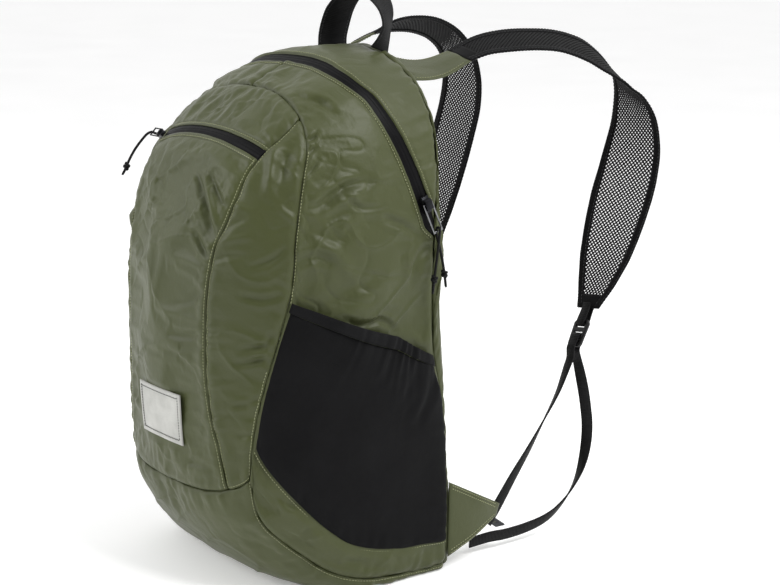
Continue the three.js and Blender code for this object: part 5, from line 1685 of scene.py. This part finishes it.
def dense_route(spots, across, count):
    """Route points and width directions on a smooth line with even steps."""
    rows = np.hstack([np.asarray(spots, float), np.asarray(across, float)])
    fine = smooth_rows(rows, np.linspace(0, len(rows) - 1, 12 * len(rows)))
    run = run_of(fine[:, :3])
    out = resample_like(fine, run, np.linspace(0, run[-1], count + 1))
    return out[:, :3], unit(out[:, 3:])


def two_layers(name, top, normals, thick, material, slot_name, *nodes):
    """Closed cloth slab: a grid, its back and a rounded rim."""
    n, m = top.shape[:2]
    puff = 0.35 + 0.65 * (1 - falling(nearest_edge(top, SEWN), 1.2))
    rise = normals * (thick / 2 * puff)[..., None]
    index = np.arange(n * m).reshape(n, m)
    a = grid_faces(index)
    b = a[:, ::-1] + n * m
    rim = rim_of(index)
    nxt = np.roll(rim, -1)
    sides = np.stack([rim, nxt, nxt + n * m, rim + n * m], -1)
    across, down = grid_runs(top)
    uv = np.stack([across, -down], -1).reshape(-1, 2)
    points = np.vstack([(top + rise).reshape(-1, 3), (top - rise).reshape(-1, 3)])
    faces = [tuple(f) for f in np.vstack([a, b, sides])]
    return solid_piece(name, [(points, faces, np.vstack([uv, uv]))], material, slot_name, *nodes)


def upper_wing(tag, side):
    """Cloth wing from the crown of the back panel to the strap end."""
    f = STRAPS[tag]
    root = np.array([0.37 * HALF, BACK_REACH, 0.968 * HEIGHT])
    if side < 0:
        root = np.array([-0.42 * HALF, BACK_REACH, 0.985 * HEIGHT])
    lean = np.array([0.86, -0.05, -0.34 if side > 0 else 0.30])
    wide = (27 if side > 0 else 23) * MM
    end = {key: value[0] for key, value in f.items()}
    rows = []
    for share in np.linspace(0, 1, 7):
        line = []
        for s in (-1, -0.5, 0, 0.5, 1):
            tip = end["at"] + end["across"] * s * end["half"] + end["along"] * 1.0 * MM
            start = root + lean * s * wide
            start = push(start)
            start += normal_at(start) * 0.9 * MM
            p = start + (tip - start) * share
            p[2] -= 6 * MM * math.sin(math.pi * share) * (1 if side > 0 else 0.2)
            line.append(p)
        rows.append(line)
    grid = refine(np.array(rows), 10)
    normals = sheet_normals(grid)
    noise = Noise(71 if side > 0 else 72)
    across, down = grid_runs(grid)
    places = edge_distances(grid)
    near = nearest_edge(grid, ("left", "right"))
    height = 0.9 * MM * noise.at(across / 0.016, down / 0.05) * (1 - falling(near, 4))
    height += 0.5 * MM * noise.at(across / 0.006, down / 0.03) * falling(places["top"][0], 14)
    grid = grid + normals * height[..., None]
    normals = sheet_normals(grid)
    two_layers(f"upper_wing_{tag}_cloth", grid, normals, 2.2 * MM, OLIVE, "olive_cloth", f"upper_wing_{tag}")
    lines = []
    for key in ("left", "right"):
        for face in (1, -1):
            line, ways = border_line(grid, normals, key, 3.0 * MM, 0.04, 0.96)
            lines.append((line + ways * face * 1.05 * MM, ways * face))
    sew(f"upper_wing_{tag}_stitches", OLIVE_THREAD, "olive_cloth", lines)


def sheet_normals(grid):
    """Directions square to a free sheet."""
    return unit(np.cross(np.gradient(grid, axis=0), np.gradient(grid, axis=1)))


def lower_wing(tag, side):
    """Cloth triangle from the back seam to the adjuster webbing."""
    base = push(np.array([[0.905 * HALF, 0.86 * BACK_REACH, 0.175 * HEIGHT],
                          [0.925 * HALF, 0.86 * BACK_REACH, 0.022 * HEIGHT]]))
    tip = behind([[0.862, 0.222, 0.100], [0.862, 0.205, 0.076]])
    n, m = 40, 36
    i = np.linspace(0, 1, n + 1)[:, None, None]
    j = np.linspace(0, 1, m + 1)[None, :, None]
    a = base[0] + (base[1] - base[0]) * j
    b = tip[0] + (tip[1] - tip[0]) * j
    grid = a + (b - a) * i
    noise = Noise(81 if side > 0 else 82)
    across, down = grid_runs(grid)
    grid[..., 0] += 2.2 * MM + 3 * MM * np.sin(math.pi * i[..., 0])
    grid[..., 0] += 0.8 * MM * noise.at(across / 0.02, down / 0.02) * np.sin(math.pi * i[..., 0])
    if side < 0:
        grid = mirrored(grid)
    normals = sheet_normals(grid)
    if normals[n // 2, m // 2, 0] * side < 0:
        normals = -normals
    two_layers(f"lower_wing_{tag}_cloth", grid, normals, 2.0 * MM, OLIVE, "olive_cloth", f"lower_wing_{tag}")
    lines = []
    for key in ("left", "right"):
        for inset in (1.8 * MM, 4.6 * MM):
            line, ways = border_line(grid, normals, key, inset, 0.03, 0.97)
            lines.append((line + ways * 0.95 * MM, ways))
            lines.append((line - ways * 0.95 * MM, -ways))
    sew(f"lower_wing_{tag}_stitches", OLIVE_THREAD, "olive_cloth", lines)


def webbing_end(tag, side):
    """Sewn end of the webbing under the wing tip, with its bar of stitches."""
    start = behind([0.821, 0.186, 0.072])
    along = np.array([-0.05, 0.81, -0.58])
    across = np.array([0.87, 0.32, 0.37])
    spots = np.array([start + along * d * MM for d in np.linspace(0, 21, 16)])
    ways = np.repeat(across[None], len(spots), axis=0)
    if side < 0:
        spots, ways = mirrored(spots), mirrored(ways)
    _, f = ribbon(f"webbing_end_{tag}_weave", spots, ways, WEB / 2, WEB_THICK, GREY_WEB,
                  "black_webbing", f"webbing_end_{tag}")
    lines = []
    for row in (5, 8):
        for face in (1, -1):
            edge = f["across"][row] * (WEB / 2 - 1 * MM)
            line = np.linspace(f["at"][row] - edge, f["at"][row] + edge, 12)
            line = line + f["up"][row] * face * WEB_THICK / 2
            lines.append((line, np.repeat((f["up"][row] * face)[None], 12, axis=0)))
    sew(f"webbing_end_{tag}_stitches", OLIVE_THREAD, "black_webbing", lines, pitch=1.1 * MM, length=0.9 * MM)


def hardware(tag, load_table, tail_table):
    """Webbing loop at the strap's end, and the adjuster webbing threaded through the buckle."""
    f = STRAPS[tag]
    end = {key: value[-1] for key, value in f.items()}
    normal = np.cross(end["across"], end["along"])

    def spots(rows):
        return [end["at"] + (end["along"] * a + normal * n) * MM for a, n in rows]

    fold = [(-4, 2.8), (0, 2.4), (5, 2.5), (10, 2.9), (14.6, 2.9), (16.6, 1.8), (17.3, 0),
            (16.6, -1.8), (14.6, -2.9), (10, -2.9), (5, -2.5), (0, -2.4), (-4, -2.8)]
    line, ways = dense_route(spots(fold), [end["across"]] * len(fold), 60)
    ribbon(f"strap_end_web_{tag}_weave", line, ways, WEB / 2, WEB_THICK, BLACK_WEB,
           "black_webbing", f"strap_end_web_{tag}")
    threaded = [(40, -3.3), (34, -2.8), (29.5, -2.7), (27.6, -2.6), (25.9, -1.7), (25.2, 0),
                (25.9, 1.7), (27.6, 2.6), (29.5, 2.7), (34, 2.8), (40, 3.3)]
    load = smooth_rows(load_table, np.linspace(0, len(load_table) - 1, 16))[1:][::-1]
    tail = smooth_rows(tail_table, np.linspace(0, len(tail_table) - 1, 25))[1:]
    places = list(behind(load)) + spots(threaded) + list(behind(tail))
    turned = list(unit(load[:, 3:6])) + [end["across"]] * len(threaded) + list(unit(tail[:, 3:6]))
    line, ways = dense_route(places, turned, 420)
    ribbon(f"adjuster_webbing_{tag}_weave", line, ways, WEB / 2, WEB_THICK, BLACK_WEB,
           "black_webbing", f"adjuster_webbing_{tag}")


def haul_loop():
    """Webbing loop standing on the crown."""
    low = push(np.array([0.255 * HALF, 0.800 * BACK_REACH, HEIGHT]))
    low = low + normal_at(low) * 0.5 * MM
    rows = np.array(HANDLE)
    spots = np.stack([rows[:, 0] * HALF, rows[:, 1] * BACK_REACH, low[2] + rows[:, 2] * HANDLE_RISE], -1)
    line, ways = dense_route(spots, rows[:, 3:6], 150)
    _, f = ribbon("haul_loop_weave", line, ways, HANDLE_WEB / 2, 1.8 * MM, BLACK_WEB,
                  "black_webbing", "haul_loop")
    lines = []
    for sign in (1, -1):
        for face in (1, -1):
            spots = f["at"] + f["across"] * sign * (HANDLE_WEB / 2 - 2.2 * MM) + f["up"] * face * 0.9 * MM
            lines.append((spots, f["up"] * face))
    sew("haul_loop_stitches", BLACK_THREAD, "black_webbing", lines, pitch=3.0 * MM, length=2.1 * MM,
        radius=0.22 * MM)


def bevelled(node, name, width, material, slot_name):
    """Copy of a hard CAD piece with rounded edges, standing for it."""
    source = next(o for o in SCENE.objects if o.get("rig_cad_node") == node)
    mesh = source.data.copy()
    mesh.name = name
    mesh.materials.clear()
    obj = link_object(name, mesh, material)
    for polygon in mesh.polygons:
        polygon.material_index = 0
    weld = obj.modifiers.new("weld", "WELD")
    weld.merge_threshold = 1e-5
    bevel = obj.modifiers.new("edge", "BEVEL")
    bevel.width = width
    bevel.segments = 2
    bevel.limit_method = "ANGLE"
    bevel.angle_limit = math.radians(28)
    bevel.harden_normals = False
    apply_modifiers(obj)
    for polygon in obj.data.polygons:
        polygon.use_smooth = True
    return dress(obj, slot_name, node)


for make_side in (upper_wing, lower_wing, webbing_end):
    make_side("right", 1)
    make_side("left", -1)
hardware("right", LOAD_RIGHT, TAIL_RIGHT)
hardware("left", LOAD_LEFT, TAIL_LEFT)
haul_loop()
# hard pieces: node, ending of the name, bevel in mm, material, slot
for row in (
        ("buckle_right", "moulding", 0.45, PLASTIC, "buckle_plastic"),
        ("buckle_left", "moulding", 0.45, PLASTIC, "buckle_plastic"),
        ("main_zip_slider", "body", 0.5, DARK_METAL, "slider_metal"),
        ("main_zip_bail", "wire", 0.40, BRIGHT_METAL, "slider_metal"),
        ("front_zip_slider", "body", 0.4, DARK_METAL, "slider_metal"),
        ("front_zip_bail", "wire", 0.35, DARK_METAL, "slider_metal")):
    bevelled(row[0], f"{row[0]}_{row[1]}", row[2] * MM, row[3], row[4])


def make_stitches():
    """Topstitching beside the zips and along the seams."""
    for tag in ("right", "left"):
        grid, way = GRIDS[f"side_panel_{tag}"]
        lines = [border_line(grid, way, "left", 3.2 * MM, 0.0, SIDE_ZIP),
                 border_line(grid, way, "right", 2.6 * MM, 0.30, 0.62)]
        sew(f"main_zip_stitches_{tag}", OLIVE_THREAD, "olive_cloth", lines)
        grid, way = GRIDS[f"front_gusset_{tag}"]
        lines = [border_line(grid, way, "left", 2.2 * MM, 0.03, 1.0),
                 border_line(grid, way, "right", 2.4 * MM, 0.70, 1.0),
                 border_line(grid, way, "foot", 2.4 * MM)]
        sew(f"gusset_stitches_{tag}", OLIVE_THREAD, "olive_cloth", lines)
    grid, way = GRIDS["rear_yoke"]
    sew("yoke_stitches", OLIVE_THREAD, "olive_cloth", [border_line(grid, way, "left", 3.2 * MM, 0.02, 0.98)])
    grid, way = GRIDS["front_top_panel"]
    sew("front_top_stitches", OLIVE_THREAD, "olive_cloth", [border_line(grid, way, "foot", 3.2 * MM)])
    grid, way = GRIDS["front_pocket_panel"]
    lines = [border_line(grid, way, "top", 3.2 * MM)]
    lines += [border_line(grid, way, key, 2.4 * MM) for key in ("left", "right")]
    sew("front_pocket_stitches", OLIVE_THREAD, "olive_cloth", lines)
    grid, way = GRIDS["bottom_panel"]
    sew("bottom_stitches", OLIVE_THREAD, "olive_cloth",
        [border_line(grid, way, key, 2.4 * MM) for key in ("left", "right")])


make_stitches()


# stage and light

def make_stage():
    """Plain pale floor and soft studio light."""
    corners = np.array([[-1, -1, 0], [1, -1, 0], [1, 1, 0], [-1, 1, 0]]) * 40.0
    mesh = make_mesh("floor", corners, [(0, 1, 2, 3)])
    floor_finish = Finish("pale_floor", 0.9, specular=0.1)
    floor_finish.colour(floor_finish.blend(floor_finish.noise(3.0), (244, 244, 244), (250, 250, 250)))
    floor_finish.shader.inputs["Emission Color"].default_value = (1.0, 1.0, 1.0, 1.0)
    floor_finish.shader.inputs["Emission Strength"].default_value = 0.24
    floor = link_object("floor", mesh, floor_finish.material)
    floor.location.z = -0.0008
    world = bpy.data.worlds.new("studio")
    SCENE.world = world
    world.use_nodes = True
    world.node_tree.nodes["Background"].inputs[0].default_value = (1.0, 1.0, 1.0, 1.0)
    tree = world.node_tree
    place = tree.nodes.new("ShaderNodeTexCoord")
    dot = tree.nodes.new("ShaderNodeVectorMath")
    dot.operation = "DOT_PRODUCT"
    dot.inputs[1].default_value = -Vector(VIEW_AHEAD)
    fade = tree.nodes.new("ShaderNodeMapRange")
    fade.interpolation_type = "SMOOTHSTEP"
    fade.inputs["From Min"].default_value = 0.05
    fade.inputs["From Max"].default_value = 0.92
    fade.inputs["To Min"].default_value = 1.0
    fade.inputs["To Max"].default_value = 0.14
    tree.links.new(place.outputs["Generated"], dot.inputs[0])
    tree.links.new(dot.outputs["Value"], fade.inputs["Value"])
    tree.links.new(fade.outputs["Result"], tree.nodes["Background"].inputs[1])


def softbox(name, place, aim, size, power):
    """Square area light aimed at a point."""
    data = bpy.data.lights.new(name, "AREA")
    data.energy = power
    data.size = size
    light = bpy.data.objects.new(name, data)
    SCENE.collection.objects.link(light)
    light.location = place
    light.rotation_mode = "QUATERNION"
    light.rotation_quaternion = (Vector(aim) - Vector(place)).to_track_quat("-Z", "Y")


make_stage()
SCENE.view_settings.view_transform = "Standard"
MIDDLE = Vector((0.0, 0.05, 0.22))
RIGHT = Vector(VIEW_RIGHT)
BACK = -Vector(VIEW_AHEAD)
UP = Vector((0, 0, 1))
softbox("key", MIDDLE + RIGHT * 1.2 + BACK * 0.9 + UP * 1.7, MIDDLE, 1.0, 44)
softbox("fill", MIDDLE - RIGHT * 1.9 + BACK * 0.4 + UP * 0.9, MIDDLE, 1.1, 18)
